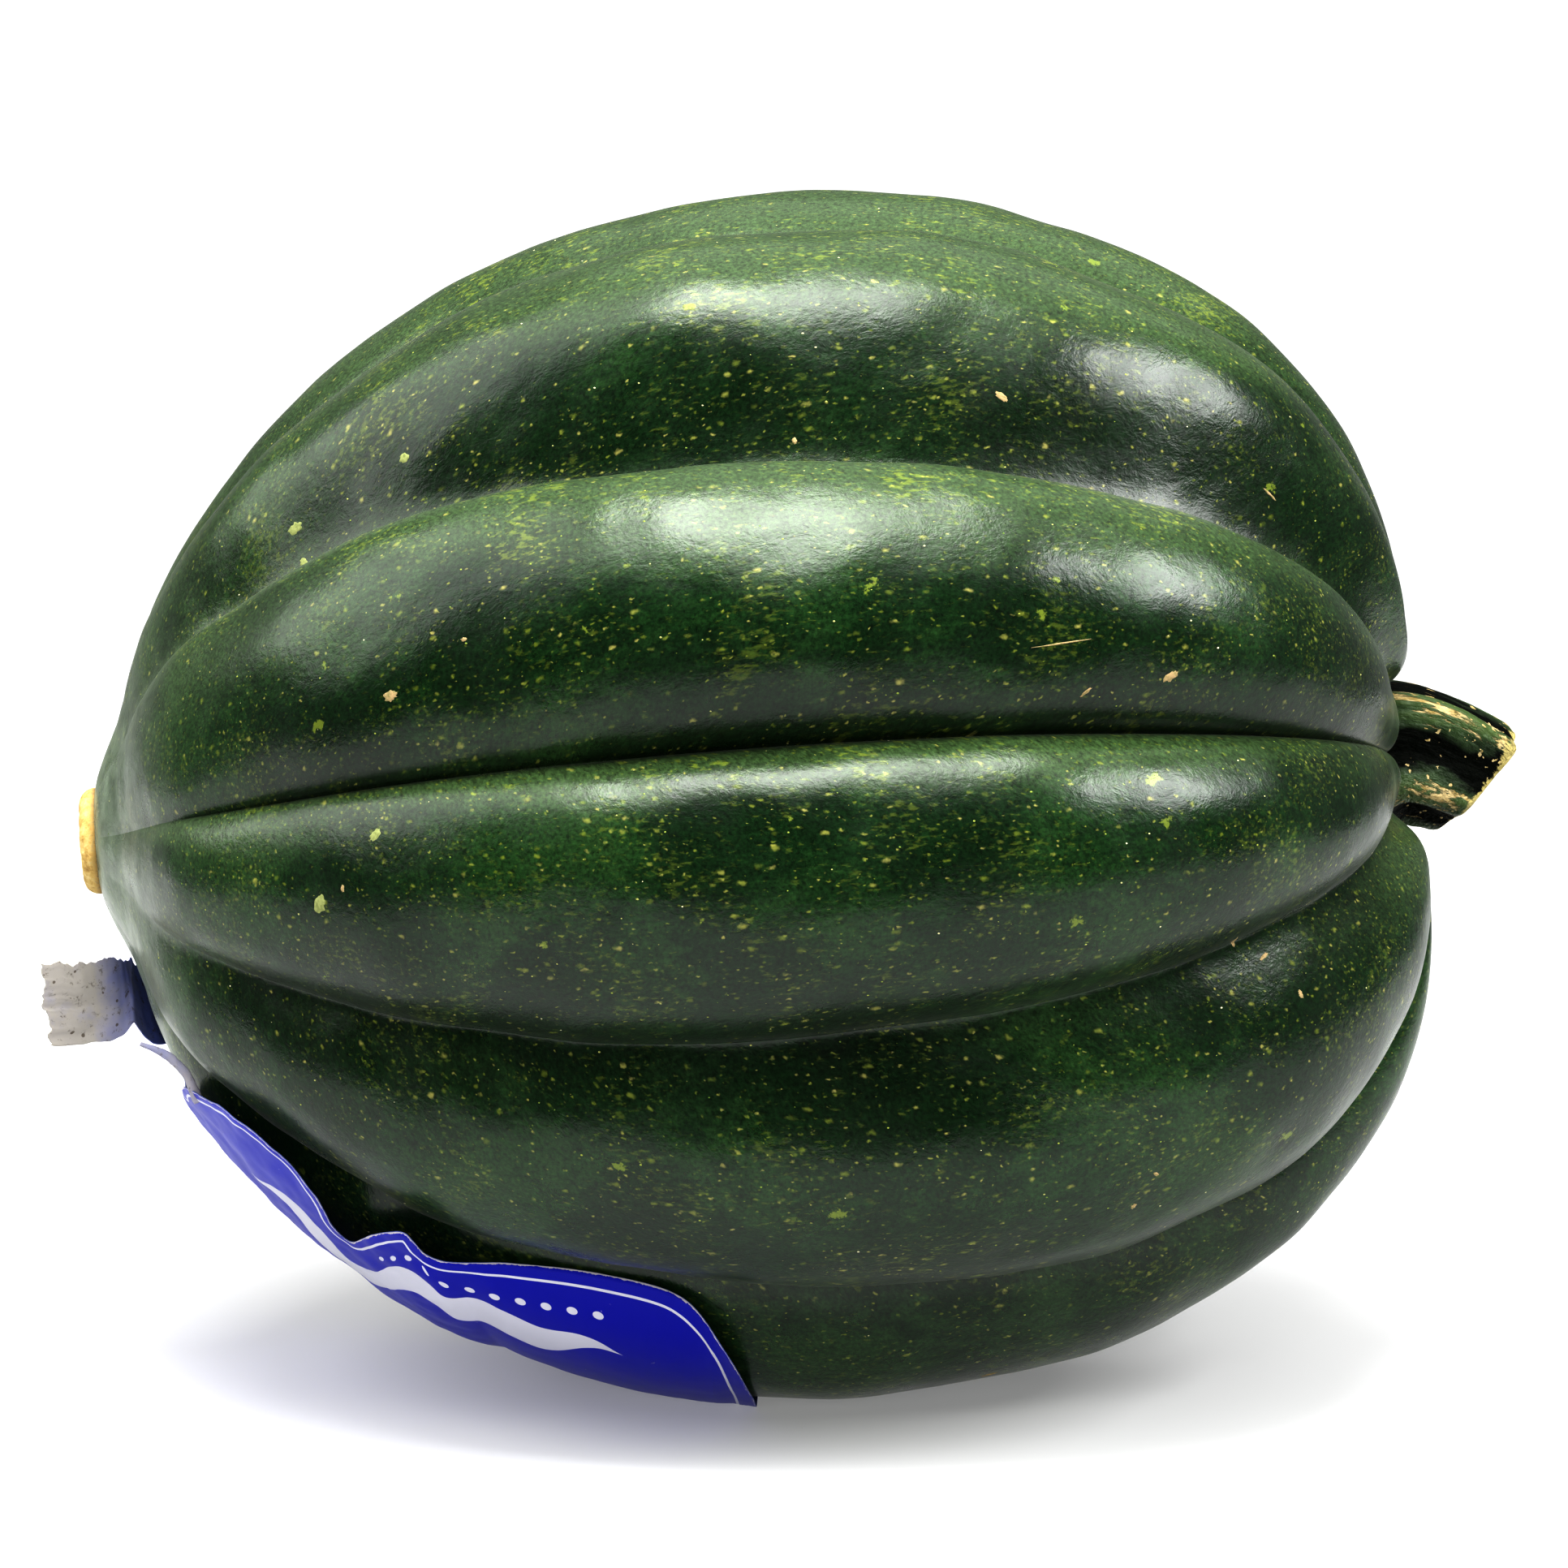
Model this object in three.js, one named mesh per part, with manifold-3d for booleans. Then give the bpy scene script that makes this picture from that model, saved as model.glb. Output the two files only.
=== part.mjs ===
// Acorn squash lying on its side, with its cut stem, its blossom scar and a peeling paper label.
// Millimetres, +Z up. The fruit's axis runs along X, blossom end at -X and stem end at +X, and the
// stem end is tipped up a little. The fruit rests on two small flat spots at z = 0.

import * as THREE from 'three';
import { mergeVertices } from 'three/addons/utils/BufferGeometryUtils.js';
import Module from 'manifold-3d';

const wasm = await Module();
wasm.setup();

// Pose of the fruit
const TILT = THREE.MathUtils.degToRad(3.6);
const FLAT_DEPTH = 0.4;

// Fruit profile, as (distance along the axis, radius), from the blossom end to the stem recess.
// The widest section is near 0. Each row is one cubic Bezier.
const WIDEST_CREST = 64;
const WIDEST_GROOVE = 56;
const TIP = [-70.7, 5.2];
const RECESS = [60.6, 9];
const CREST_PROFILE = [
  [TIP, [-70, 29], [-41, WIDEST_CREST], [4, WIDEST_CREST]],
  [[4, WIDEST_CREST], [41, WIDEST_CREST], [68.2, 44], [68.2, 16]],
  [[68.2, 16], [68.2, 11.5], [66, 9], RECESS],
];
const GROOVE_PROFILE = [
  [TIP, [-69, 26], [-40, WIDEST_GROOVE], [2, WIDEST_GROOVE]],
  [[2, WIDEST_GROOVE], [38, WIDEST_GROOVE], [62.5, 38], [63.5, 15]],
  [[63.5, 15], [63.5, 12], [62.5, 9], RECESS],
];

// Ribs. Angles are in degrees round the axis, 0 towards -Y and 90 up, and give the groove below
// each rib at the blossom end, the middle and the stem end. Girth scales the rib's height from
// the axis at the middle, and reach moves its stem shoulder along the axis.
const RIBS = [
  { groove: [-53, -50, -53], girth: 1.0, reach: -0.6 },
  { groove: [-14, -15.5, -9], girth: 1.0, reach: -3.9 },
  { groove: [20, 15.5, 12.5], girth: 1.0, reach: -3.6 },
  { groove: [54, 46, 46], girth: 1.0, reach: -1.4 },
  { groove: [90, 84, 86], girth: 1.0, reach: -1.2 },
  { groove: [122, 120, 122], girth: 1.005, reach: -2.2 },
  { groove: [158, 156, 154], girth: 0.99, reach: -1.6 },
  { groove: [190, 192, 194], girth: 1.0, reach: -2.8 },
  { groove: [231, 229, 227], girth: 1.004, reach: -0.6 },
  { groove: [268, 269, 268], girth: 1.0, reach: 0 },
];
const RIB_ROUNDNESS = 1.08;
const SHOULDER = { from: 0.5, full: 0.9, fading: 0.93, gone: 1 };
const COLUMNS_PER_RIB = 10;
const BODY_ROWS = 40;
const END_CROWDING = 0.42;

// Stem: a ridged stub on the recess floor, bent down a little and cut slantwise. The path is
// (distance along the axis, height above it), with the stem's radius at each of its points.
const STEM_PATH = [[61.6, 0.6], [66, 0.9], [71.8, -1.4], [76.4, -4.4], [84, -10]];
const STEM_RADIUS = [7.2, 6.7, 6.1, 5.4, 4.8];
const STEM_RIDGES = 8;
const STEM_RIDGE_ANGLE = THREE.MathUtils.degToRad(42);
const STEM_RIDGE_HEIGHT = 0.09;
const STEM_SIDES = 48;
const STEM_ROWS = 14;
const STEM_CUT_POINT = [78.3, 1.3];
const STEM_CUT_ANGLE = THREE.MathUtils.degToRad(-44.7);

// Blossom scar: a corky button on the tip, as (radius, height above the tip) from its back to its
// dimpled face
const SCAR_PROFILE = [
  [0, 0], [4.9, 0], [5.4, 0.4], [5.6, 1.2], [5.5, 2], [5.1, 2.6], [4.4, 2.95], [3.2, 3], [1.6, 2.8], [0, 2.4],
];
const SCAR_GAP = 0.3;
const SCAR_SIDES = 32;

// Label: a curved sheet over the lowest near rib, loose along its top edge, with a torn strip that
// stands out past the blossom end. Edges are (distance along the axis, angle, lift from the ribs).
const LABEL_THICKNESS = 0.6;
const LABEL_NEAR_EDGE = [
  [-78.4, -80.4, 9], [-74.4, -83, 8.9], [-71, -86, 8.6], [-68.2, -92, 4.7], [-65.8, -102, 0.8],
  [-64.8, -90, 0.9], [-64, -70, 1.6], [-62.6, -50, 2], [-57, -40, 1.9], [-50.5, -42.5, 1.9],
  [-47.2, -54, 1.5], [-44, -47.5, 1.8], [-40.3, -43, 2], [-37.5, -47, 1.4], [-29, -46, 0.8],
  [-20.7, -46, 0.5], [-12, -48, 0.4], [-8.5, -53, 0.4], [-6.5, -62, 0.4],
];
const LABEL_FAR_EDGE = [
  [-78.8, -80.6, 0.4], [-74.7, -85.3, 0.5], [-71.4, -92, 0.8], [-69.5, -106, 1.5], [-68, -119, 0.7],
  [-66, -123, 0.6], [-64, -122, 0.6], [-61, -119, 0.6], [-57, -116, 0.6], [-51, -113, 0.6],
  [-46, -110, 0.6], [-41, -106, 0.6], [-36, -101, 0.6], [-31, -95, 0.5], [-26, -86, 0.4],
  [-20, -77, 0.4], [-14, -71.5, 0.4], [-9.5, -70, 0.4], [-6.5, -69, 0.4],
];
const LABEL_ROWS = 48;
const LABEL_COLUMNS = 10;
const LABEL_SLOPE_STEP = 0.01;
const ENVELOPE_END = 1;
const ENVELOPE_PRECISION = 1e-8;

// Sizes of the blocks that cut the stem's end and the resting spots, and the merging distance
const STEM_BLOCK = 40;
const FLOOR_BLOCK = 200;
const MERGE_DISTANCE = 1e-4;

const MATERIALS = {
  rind: new THREE.MeshStandardMaterial({ name: 'rind', color: '#2f4a24', roughness: 0.42, metalness: 0 }),
  stem: new THREE.MeshStandardMaterial({ name: 'stem', color: '#4a5230', roughness: 0.7, metalness: 0 }),
  cork: new THREE.MeshStandardMaterial({ name: 'cork', color: '#c9b16c', roughness: 0.85, metalness: 0 }),
  paper: new THREE.MeshStandardMaterial({ name: 'paper', color: '#1b22a0', roughness: 0.35, metalness: 0 }),
};

function profileCurve(rows) {
  const path = new THREE.CurvePath();
  for (const row of rows) {
    path.add(new THREE.CubicBezierCurve(...row.map(([x, y]) => new THREE.Vector2(x, y))));
  }
  return path;
}

const crestCurve = profileCurve(CREST_PROFILE);
const grooveCurve = profileCurve(GROOVE_PROFILE);

// Angle of a groove, 0..1 along the fruit, as the parabola through its three angles
function grooveAngle(index, along) {
  const turns = Math.floor(index / RIBS.length);
  const [blossom, middle, stem] = RIBS[index % RIBS.length].groove;
  const t = 2 * along - 1;
  const degrees = middle + ((stem - blossom) / 2) * t + ((stem + blossom) / 2 - middle) * t * t;
  return THREE.MathUtils.degToRad(degrees + 360 * turns);
}

// Point of the fruit at 0..1 along it and 0..1 across one rib, as [along axis, angle, radius]
function ribPoint(rib, across, along) {
  const side = -Math.cos(Math.PI * across);
  const swell = Math.sin(Math.PI * across) ** RIB_ROUNDNESS;
  const crest = crestCurve.getPoint(along);
  const groove = grooveCurve.getPoint(along);
  const { girth, reach } = RIBS[rib];
  const middle = Math.sin(Math.PI * along);
  const rise = THREE.MathUtils.smoothstep(along, SHOULDER.from, SHOULDER.full);
  const fall = THREE.MathUtils.smoothstep(along, SHOULDER.fading, SHOULDER.gone);
  const crestX = crest.x + reach * rise * (1 - fall);
  const crestR = crest.y * (1 + (girth - 1) * middle);
  const low = grooveAngle(rib, along);
  const high = grooveAngle(rib + 1, along);
  return [
    groove.x + (crestX - groove.x) * swell,
    low + ((high - low) * (side + 1)) / 2,
    groove.y + (crestR - groove.y) * swell,
  ];
}

// From the fruit's own axis frame to the tipped frame that it lies in
function place(axial, sideways, upwards) {
  return new THREE.Vector3(
    axial * Math.cos(TILT) - upwards * Math.sin(TILT),
    sideways,
    axial * Math.sin(TILT) + upwards * Math.cos(TILT),
  );
}

function placeRound(axial, angle, radius) {
  return place(axial, -radius * Math.cos(angle), radius * Math.sin(angle));
}

function meshFromRings(rings, capStart, capEnd) {
  const points = rings.flat();
  const count = rings[0].length;
  const faces = [];
  for (let row = 0; row < rings.length - 1; row++) {
    for (let column = 0; column < count; column++) {
      const a = row * count + column;
      const b = row * count + ((column + 1) % count);
      faces.push(a, a + count, b, b, a + count, b + count);
    }
  }
  const lastRow = (rings.length - 1) * count;
  const start = points.push(capStart) - 1;
  const end = points.push(capEnd) - 1;
  for (let column = 0; column < count; column++) {
    const next = (column + 1) % count;
    faces.push(start, column, next, end, lastRow + next, lastRow + column);
  }
  return geometryOf(points, faces);
}

function geometryOf(points, faces) {
  const geometry = new THREE.BufferGeometry();
  geometry.setAttribute('position', new THREE.Float32BufferAttribute(points.flatMap((p) => p.toArray()), 3));
  geometry.setIndex(faces);
  return geometry;
}

function solidOf(geometry) {
  const bare = geometry.clone();
  bare.deleteAttribute('normal');
  bare.deleteAttribute('uv');
  const merged = mergeVertices(bare, MERGE_DISTANCE);
  return new wasm.Manifold(new wasm.Mesh({
    numProp: 3,
    vertProperties: new Float32Array(merged.attributes.position.array),
    triVerts: new Uint32Array(merged.index.array),
  }));
}

function geometryOfSolid(solid) {
  const mesh = solid.getMesh();
  const geometry = new THREE.BufferGeometry();
  geometry.setAttribute('position', new THREE.BufferAttribute(mesh.vertProperties, 3));
  geometry.setIndex(new THREE.BufferAttribute(mesh.triVerts, 1));
  return geometry;
}

function fruitGeometry() {
  const rings = [];
  for (let row = 0; row <= BODY_ROWS; row++) {
    const even = row / BODY_ROWS;
    const along = even + (END_CROWDING * ((1 - Math.cos(Math.PI * even)) / 2 - even));
    const ring = [];
    for (let rib = 0; rib < RIBS.length; rib++) {
      for (let column = 0; column < COLUMNS_PER_RIB; column++) {
        ring.push(placeRound(...ribPoint(rib, column / COLUMNS_PER_RIB, along)));
      }
    }
    rings.push(ring);
  }
  return meshFromRings(rings, place(TIP[0], 0, 0), place(RECESS[0], 0, 0));
}

function stemGeometry() {
  const path = new THREE.CatmullRomCurve3(STEM_PATH.map(([x, z]) => new THREE.Vector3(x, 0, z)));
  const girth = new THREE.SplineCurve(STEM_RADIUS.map((radius, index) => new THREE.Vector2(index, radius)));
  const rings = [];
  for (let row = 0; row <= STEM_ROWS; row++) {
    const t = row / STEM_ROWS;
    const centre = path.getPoint(t);
    const tangent = path.getTangent(t);
    const normal = new THREE.Vector3(-tangent.z, 0, tangent.x);
    const radius = girth.getPoint(t).y;
    const ring = [];
    for (let side = 0; side < STEM_SIDES; side++) {
      const angle = (2 * Math.PI * side) / STEM_SIDES;
      const ridge = Math.cos(STEM_RIDGES * (angle - STEM_RIDGE_ANGLE));
      const ridged = radius * (1 + STEM_RIDGE_HEIGHT * ridge);
      const sideways = -ridged * Math.cos(angle);
      const upwards = ridged * Math.sin(angle);
      ring.push(place(centre.x + normal.x * upwards, sideways, centre.z + normal.z * upwards));
    }
    rings.push(ring);
  }
  const [startX, startZ] = STEM_PATH[0];
  const [endX, endZ] = STEM_PATH.at(-1);
  const whole = solidOf(meshFromRings(rings, place(startX, 0, startZ), place(endX, 0, endZ)));
  const block = new THREE.BoxGeometry(STEM_BLOCK, STEM_BLOCK, STEM_BLOCK);
  block.translate(STEM_BLOCK / 2, 0, 0);
  block.rotateY(-(STEM_CUT_ANGLE + TILT));
  block.translate(...place(STEM_CUT_POINT[0], 0, STEM_CUT_POINT[1]).toArray());
  return geometryOfSolid(whole.subtract(solidOf(block)));
}

function scarGeometry() {
  const profile = SCAR_PROFILE.map(([radius, height]) => new THREE.Vector2(radius, height));
  const geometry = new THREE.LatheGeometry(profile, SCAR_SIDES);
  geometry.rotateZ(Math.PI / 2);
  geometry.translate(TIP[0] - SCAR_GAP, 0, 0);
  geometry.rotateY(-TILT);
  return geometry;
}

// Radius of the smooth envelope that the rib crests touch, at a distance along the axis. Past
// the tip it stays what it is just inside it.
function envelopeRadius(axial) {
  const inside = Math.max(axial, TIP[0] + ENVELOPE_END);
  let low = 0;
  let high = 0.5;
  while (high - low > ENVELOPE_PRECISION) {
    const middle = (low + high) / 2;
    if (crestCurve.getPoint(middle).x < inside) {
      low = middle;
    } else {
      high = middle;
    }
  }
  return crestCurve.getPoint(low).y;
}

function edgeCurve(edge) {
  return new THREE.CatmullRomCurve3(edge.map((point) => new THREE.Vector3(...point)), false, 'centripetal');
}

function labelGeometry() {
  const nearEdge = edgeCurve(LABEL_NEAR_EDGE);
  const farEdge = edgeCurve(LABEL_FAR_EDGE);
  const sheet = (along, across) => {
    const point = nearEdge.getPoint(along).lerp(farEdge.getPoint(along), across);
    return placeRound(point.x, THREE.MathUtils.degToRad(point.y), envelopeRadius(point.x) + point.z);
  };
  const outside = (along, across) => {
    const from = Math.max(along - LABEL_SLOPE_STEP, 0);
    const to = Math.min(along + LABEL_SLOPE_STEP, 1);
    const lengthways = sheet(to, across).sub(sheet(from, across));
    const crossways = sheet(along, 1).sub(sheet(along, 0));
    return sheet(along, across).addScaledVector(crossways.cross(lengthways).normalize(), LABEL_THICKNESS);
  };
  const rings = [];
  for (let row = 0; row <= LABEL_ROWS; row++) {
    const along = row / LABEL_ROWS;
    const ring = [];
    for (let column = 0; column <= LABEL_COLUMNS; column++) {
      ring.push(sheet(along, column / LABEL_COLUMNS));
    }
    for (let column = LABEL_COLUMNS; column >= 0; column--) {
      ring.push(outside(along, column / LABEL_COLUMNS));
    }
    rings.push(ring);
  }
  const endMiddle = (along) => sheet(along, 0.5).lerp(outside(along, 0.5), 0.5);
  return meshFromRings(rings, endMiddle(0), endMiddle(1));
}

function buildSquash() {
  const fruit = fruitGeometry();
  fruit.computeBoundingBox();
  const floor = fruit.boundingBox.min.z + FLAT_DEPTH;
  const block = new THREE.BoxGeometry(FLOOR_BLOCK, FLOOR_BLOCK, FLOOR_BLOCK);
  block.translate(0, 0, floor - FLOOR_BLOCK / 2);
  const resting = geometryOfSolid(solidOf(fruit).subtract(solidOf(block)));

  const group = new THREE.Group();
  const pieces = [
    ['squash_body', resting, MATERIALS.rind],
    ['stem', stemGeometry(), MATERIALS.stem],
    ['blossom_scar', scarGeometry(), MATERIALS.cork],
    ['label', labelGeometry(), MATERIALS.paper],
  ];
  for (const [name, geometry, material] of pieces) {
    const mesh = new THREE.Mesh(geometry, material);
    mesh.name = name;
    group.add(mesh);
  }
  const box = new THREE.Box3().setFromObject(group);
  const centre = box.getCenter(new THREE.Vector3());
  group.position.set(-centre.x, -centre.y, -floor);
  return group;
}

export default buildSquash();
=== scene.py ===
# Acorn squash on its side: ribbed green fruit, ridged cut stem, corky blossom scar, peeling paper label.
import bpy
import math
import numpy as np
from functools import partial
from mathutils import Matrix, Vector, noise
from mathutils.bvhtree import BVHTree


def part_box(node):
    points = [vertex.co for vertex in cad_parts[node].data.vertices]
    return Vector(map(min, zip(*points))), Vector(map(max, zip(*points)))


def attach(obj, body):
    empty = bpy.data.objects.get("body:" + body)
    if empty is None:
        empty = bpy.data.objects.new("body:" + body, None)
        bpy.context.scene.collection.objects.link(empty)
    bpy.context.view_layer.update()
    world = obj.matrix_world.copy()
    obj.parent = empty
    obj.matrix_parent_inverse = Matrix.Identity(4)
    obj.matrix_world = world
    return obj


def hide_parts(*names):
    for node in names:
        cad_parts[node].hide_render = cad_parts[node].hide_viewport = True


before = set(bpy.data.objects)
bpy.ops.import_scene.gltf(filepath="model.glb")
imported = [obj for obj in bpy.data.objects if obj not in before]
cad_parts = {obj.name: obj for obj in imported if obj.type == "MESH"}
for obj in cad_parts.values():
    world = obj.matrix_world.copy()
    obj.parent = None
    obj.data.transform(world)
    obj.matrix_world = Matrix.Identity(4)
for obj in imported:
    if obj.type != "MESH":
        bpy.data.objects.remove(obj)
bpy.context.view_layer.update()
mm = 0.001
degree = math.pi / 180
weld = 0.002 * mm  # points closer than this are one point

# kinds of node that come up often
mathNode = "ShaderNodeMath"
vectorNode = "ShaderNodeVectorMath"
rangeNode = "ShaderNodeMapRange"
noiseNode = "ShaderNodeTexNoise"
blendNode = "ShaderNodeMixRGB"
storedNode = "ShaderNodeAttribute"


# Shared helpers

def toLinear(hexColour):
    # sRGB hex to the linear colour that a shader socket holds
    parts = [int(hexColour[i:i + 2], 16) / 255 for i in (1, 3, 5)]
    linear = [c / 12.92 if c <= 0.04045 else ((c + 0.055) / 1.055) ** 2.4 for c in parts]
    return (*linear, 1.0)


def addNode(tree, kind, links=(), **settings):
    # one node; links says what goes into its sockets, by name or in their order,
    # and a node that stands there gives its first output
    node = tree.nodes.new(kind)
    for key, value in settings.items():
        setattr(node, key, value)
    for key, value in links.items() if isinstance(links, dict) else enumerate(links):
        if isinstance(value, bpy.types.Node):
            value = value.outputs[0]
        if isinstance(value, bpy.types.NodeSocket):
            tree.links.new(value, node.inputs[key])
        else:
            node.inputs[key].default_value = value
    return node


def addRamp(tree, factor, stops, blend="LINEAR"):
    # colour ramp through (place, hex colour) stops
    ramp = addNode(tree, "ShaderNodeValToRGB", [factor])
    ramp.color_ramp.interpolation = blend
    while len(ramp.color_ramp.elements) < len(stops):
        ramp.color_ramp.elements.new(0.5)
    for element, (place, colour) in zip(ramp.color_ramp.elements, stops):
        element.position = place
        element.color = toLinear(colour)
    return ramp.outputs["Color"]


def newMaterial(name):
    material = bpy.data.materials.new(name)
    material.use_nodes = True
    material.node_tree.nodes.clear()
    return material, material.node_tree


def newTree(name, inputs):
    # empty geometry tree with named inputs, given as (name, socket type)
    tree = bpy.data.node_groups.new(name, "GeometryNodeTree")
    tree.interface.new_socket("Geometry", in_out="INPUT", socket_type="NodeSocketGeometry")
    for label, kind in inputs:
        tree.interface.new_socket(label, in_out="INPUT", socket_type=kind)
    tree.interface.new_socket("Geometry", in_out="OUTPUT", socket_type="NodeSocketGeometry")
    return tree, tree.nodes.new("NodeGroupInput").outputs


def linkObject(name, mesh):
    piece = bpy.data.objects.new(name, mesh)
    bpy.context.scene.collection.objects.link(piece)
    return piece


def unitGrid(add, columns, rows):
    # flat grid of side 1, and where each of its points lies on it, from 0 to 1 both ways
    grid = add("GeometryNodeMeshGrid", {
        "Size X": 1.0, "Size Y": 1.0, "Vertices X": columns, "Vertices Y": rows})
    position = add("GeometryNodeInputPosition")
    centred = add(vectorNode, [position, (0.5, 0.5, 0)], operation="ADD")
    return (grid, add("ShaderNodeSeparateXYZ", [centred]))


def finishTree(add, grid, stored, point, material, turned=True):
    # stores what the material needs on the flat grid, moves its points, closes it and paints it
    shape = grid
    for name, kind, value in stored:
        shape = add("GeometryNodeStoreNamedAttribute", {
            "Geometry": shape, "Name": name, "Value": value}, data_type=kind, domain="POINT")
    moved = add("GeometryNodeSetPosition", {"Geometry": shape, "Position": point})
    shape = add("GeometryNodeMergeByDistance", {"Geometry": moved, "Distance": weld})
    if turned:
        shape = add("GeometryNodeFlipFaces", [shape])
    smooth = add("GeometryNodeSetShadeSmooth", [shape])
    real = add("GeometryNodeRealizeInstances", [smooth])
    painted = add("GeometryNodeSetMaterial", {"Geometry": real, "Material": material})
    add("NodeGroupOutput", [painted])


def runTree(name, tree, base, values):
    # runs a tree on a base mesh and keeps the result as a plain mesh object
    carrier = linkObject(name + "Carrier", base)
    modifier = carrier.modifiers.new("tree", "NODES")
    modifier.node_group = tree
    for item in tree.interface.items_tree:
        if item.item_type == "SOCKET" and item.in_out == "INPUT" and item.name in values:
            modifier[item.identifier] = values[item.name]
    graph = bpy.context.evaluated_depsgraph_get()
    mesh = bpy.data.meshes.new_from_object(
        carrier.evaluated_get(graph), preserve_all_data_layers=True, depsgraph=graph)
    carrier.modifiers.remove(modifier)
    bpy.data.objects.remove(carrier)
    mesh.name = name
    return linkObject(name, mesh)


def meshPoints(mesh):
    flat = np.empty(len(mesh.vertices) * 3)
    mesh.vertices.foreach_get("co", flat)
    return flat.reshape(-1, 3)


def setMeshPoints(mesh, points):
    mesh.vertices.foreach_set("co", np.asarray(points, float).ravel())
    mesh.update()


def addAttribute(mesh, name, kind, values):
    layer = mesh.attributes.new(name, kind, "POINT")
    field = "vector" if kind == "FLOAT_VECTOR" else "value"
    layer.data.foreach_set(field, np.asarray(values, float).ravel())


def catmullRom(points, t):
    # centripetal Catmull-Rom curve through the points, at 0..1 along their count
    points = np.asarray(points, float)
    place = t * (len(points) - 1)
    start = min(int(place), len(points) - 2)
    weight = place - start
    before = points[start - 1] if start > 0 else 2 * points[0] - points[1]
    after = points[start + 2] if start + 2 < len(points) else 2 * points[-1] - points[-2]
    p = [before, points[start], points[start + 1], after]
    gaps = [max(np.linalg.norm(b - a) ** 0.5, 1e-4) for a, b in zip(p, p[1:])]
    slopeIn = (p[1] - p[0]) / gaps[0] - (p[2] - p[0]) / (gaps[0] + gaps[1]) + (p[2] - p[1]) / gaps[1]
    slopeOut = (p[2] - p[1]) / gaps[1] - (p[3] - p[1]) / (gaps[1] + gaps[2]) + (p[3] - p[2]) / gaps[2]
    slopeIn, slopeOut = slopeIn * gaps[1], slopeOut * gaps[1]
    third = 2 * p[1] - 2 * p[2] + slopeIn + slopeOut
    second = 3 * p[2] - 3 * p[1] - 2 * slopeIn - slopeOut
    return ((third * weight + second) * weight + slopeIn) * weight + p[1]


def roughen(point, size, detail=3):
    # soft repeatable noise in about -1..1, for a point in millimetres
    return noise.fractal(Vector(point) / size, 0.9, 2.0, detail, noise_basis="PERLIN_ORIGINAL")


# The fruit's own axis: x along it from blossom to stem, angle 0 towards the viewer and 90 up

fruit = {
    "tilt": 3.6,  # degrees that the stem end is tipped up
    "crest": [  # cubic Beziers of (along, radius) in mm over the rib tops
        [(-70.7, 5.2), (-70, 29), (-41, 64), (4, 64)],
        [(4, 64), (41, 64), (68.2, 44), (68.2, 16)],
        [(68.2, 16), (68.2, 11.5), (66, 9), (60.6, 9)],
    ],
    "groove": [
        [(-70.7, 5.2), (-69, 26), (-40, 56), (2, 56)],
        [(2, 56), (38, 56), (62.5, 38), (63.5, 15)],
        [(63.5, 15), (63.5, 12), (62.5, 9), (60.6, 9)],
    ],
    # groove angle below the rib at blossom, middle and stem, girth, stem reach in mm, two flanks, lean;
    # a flank of 1 is plump up to its groove, and a higher one leaves a wide shallow valley
    "ribs": [
        (-53, -50, -72, 1.0, -0.6, 1.2, 2.4, 0), (-14, -15.5, -9, 1.0, -3.9, 1.7, 1.0, 0),
        (12, 15.4, 13, 1.0, -3.6, 1.15, 0.85, 0), (55.5, 46.3, 43.5, 1.02, -1.4, 3.2, 1.2, 0.2),
        (90, 84, 86, 1.0, -1.2, 1.6, 1.1, 0), (122, 120, 122, 1.005, -2.2, 1.4, 1.4, 0),
        (158, 156, 154, 0.99, -1.6, 1.4, 1.4, 0), (190, 192, 194, 1.0, -2.8, 1.4, 1.4, 0),
        (231, 229, 227, 1.004, -0.6, 1.4, 1.4, 0), (268, 269, 268, 1.0, 0, 1.3, 1.3, 0),
    ],
    "valley": 0.085,  # softness of the grooves, 0 for sharp creases
    "blossomValley": 0.6,  # the same beside the blossom end, where the grooves run out
    "blossomFill": 0.55,  # share of their depth that they lose there
    "crowding": 0.42,  # how much closer the rows stand at the two ends
    "columns": 380,
    "rows": 236,
    "swellSize": 19,  # mm between the broad uneven swellings, and their height
    "swellHeight": 2.9,
    "dimpleSize": 6.5,
    "dimpleHeight": 0.55,
    "tipReach": (0, 5, 7, 9, 11, 13, 16, 20, 24, 30),  # mm from the axis at the blossom end
    "tipPush": (1.3, 1.3, 0.9, 0.3, -0.3, -0.8, -1.0, -0.7, -0.3, 0),  # mm outwards there
    "paperGap": 0.18,  # mm that the paper under the fruit holds it off the table
}


def placeInFruit(along, sideways, upwards):
    tilt = fruit["tilt"] * degree
    return Vector((
        along * math.cos(tilt) - upwards * math.sin(tilt),
        sideways,
        along * math.sin(tilt) + upwards * math.cos(tilt)))


def placeRound(along, angle, radius):
    return placeInFruit(along, -radius * math.cos(angle * degree), radius * math.sin(angle * degree))


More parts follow.
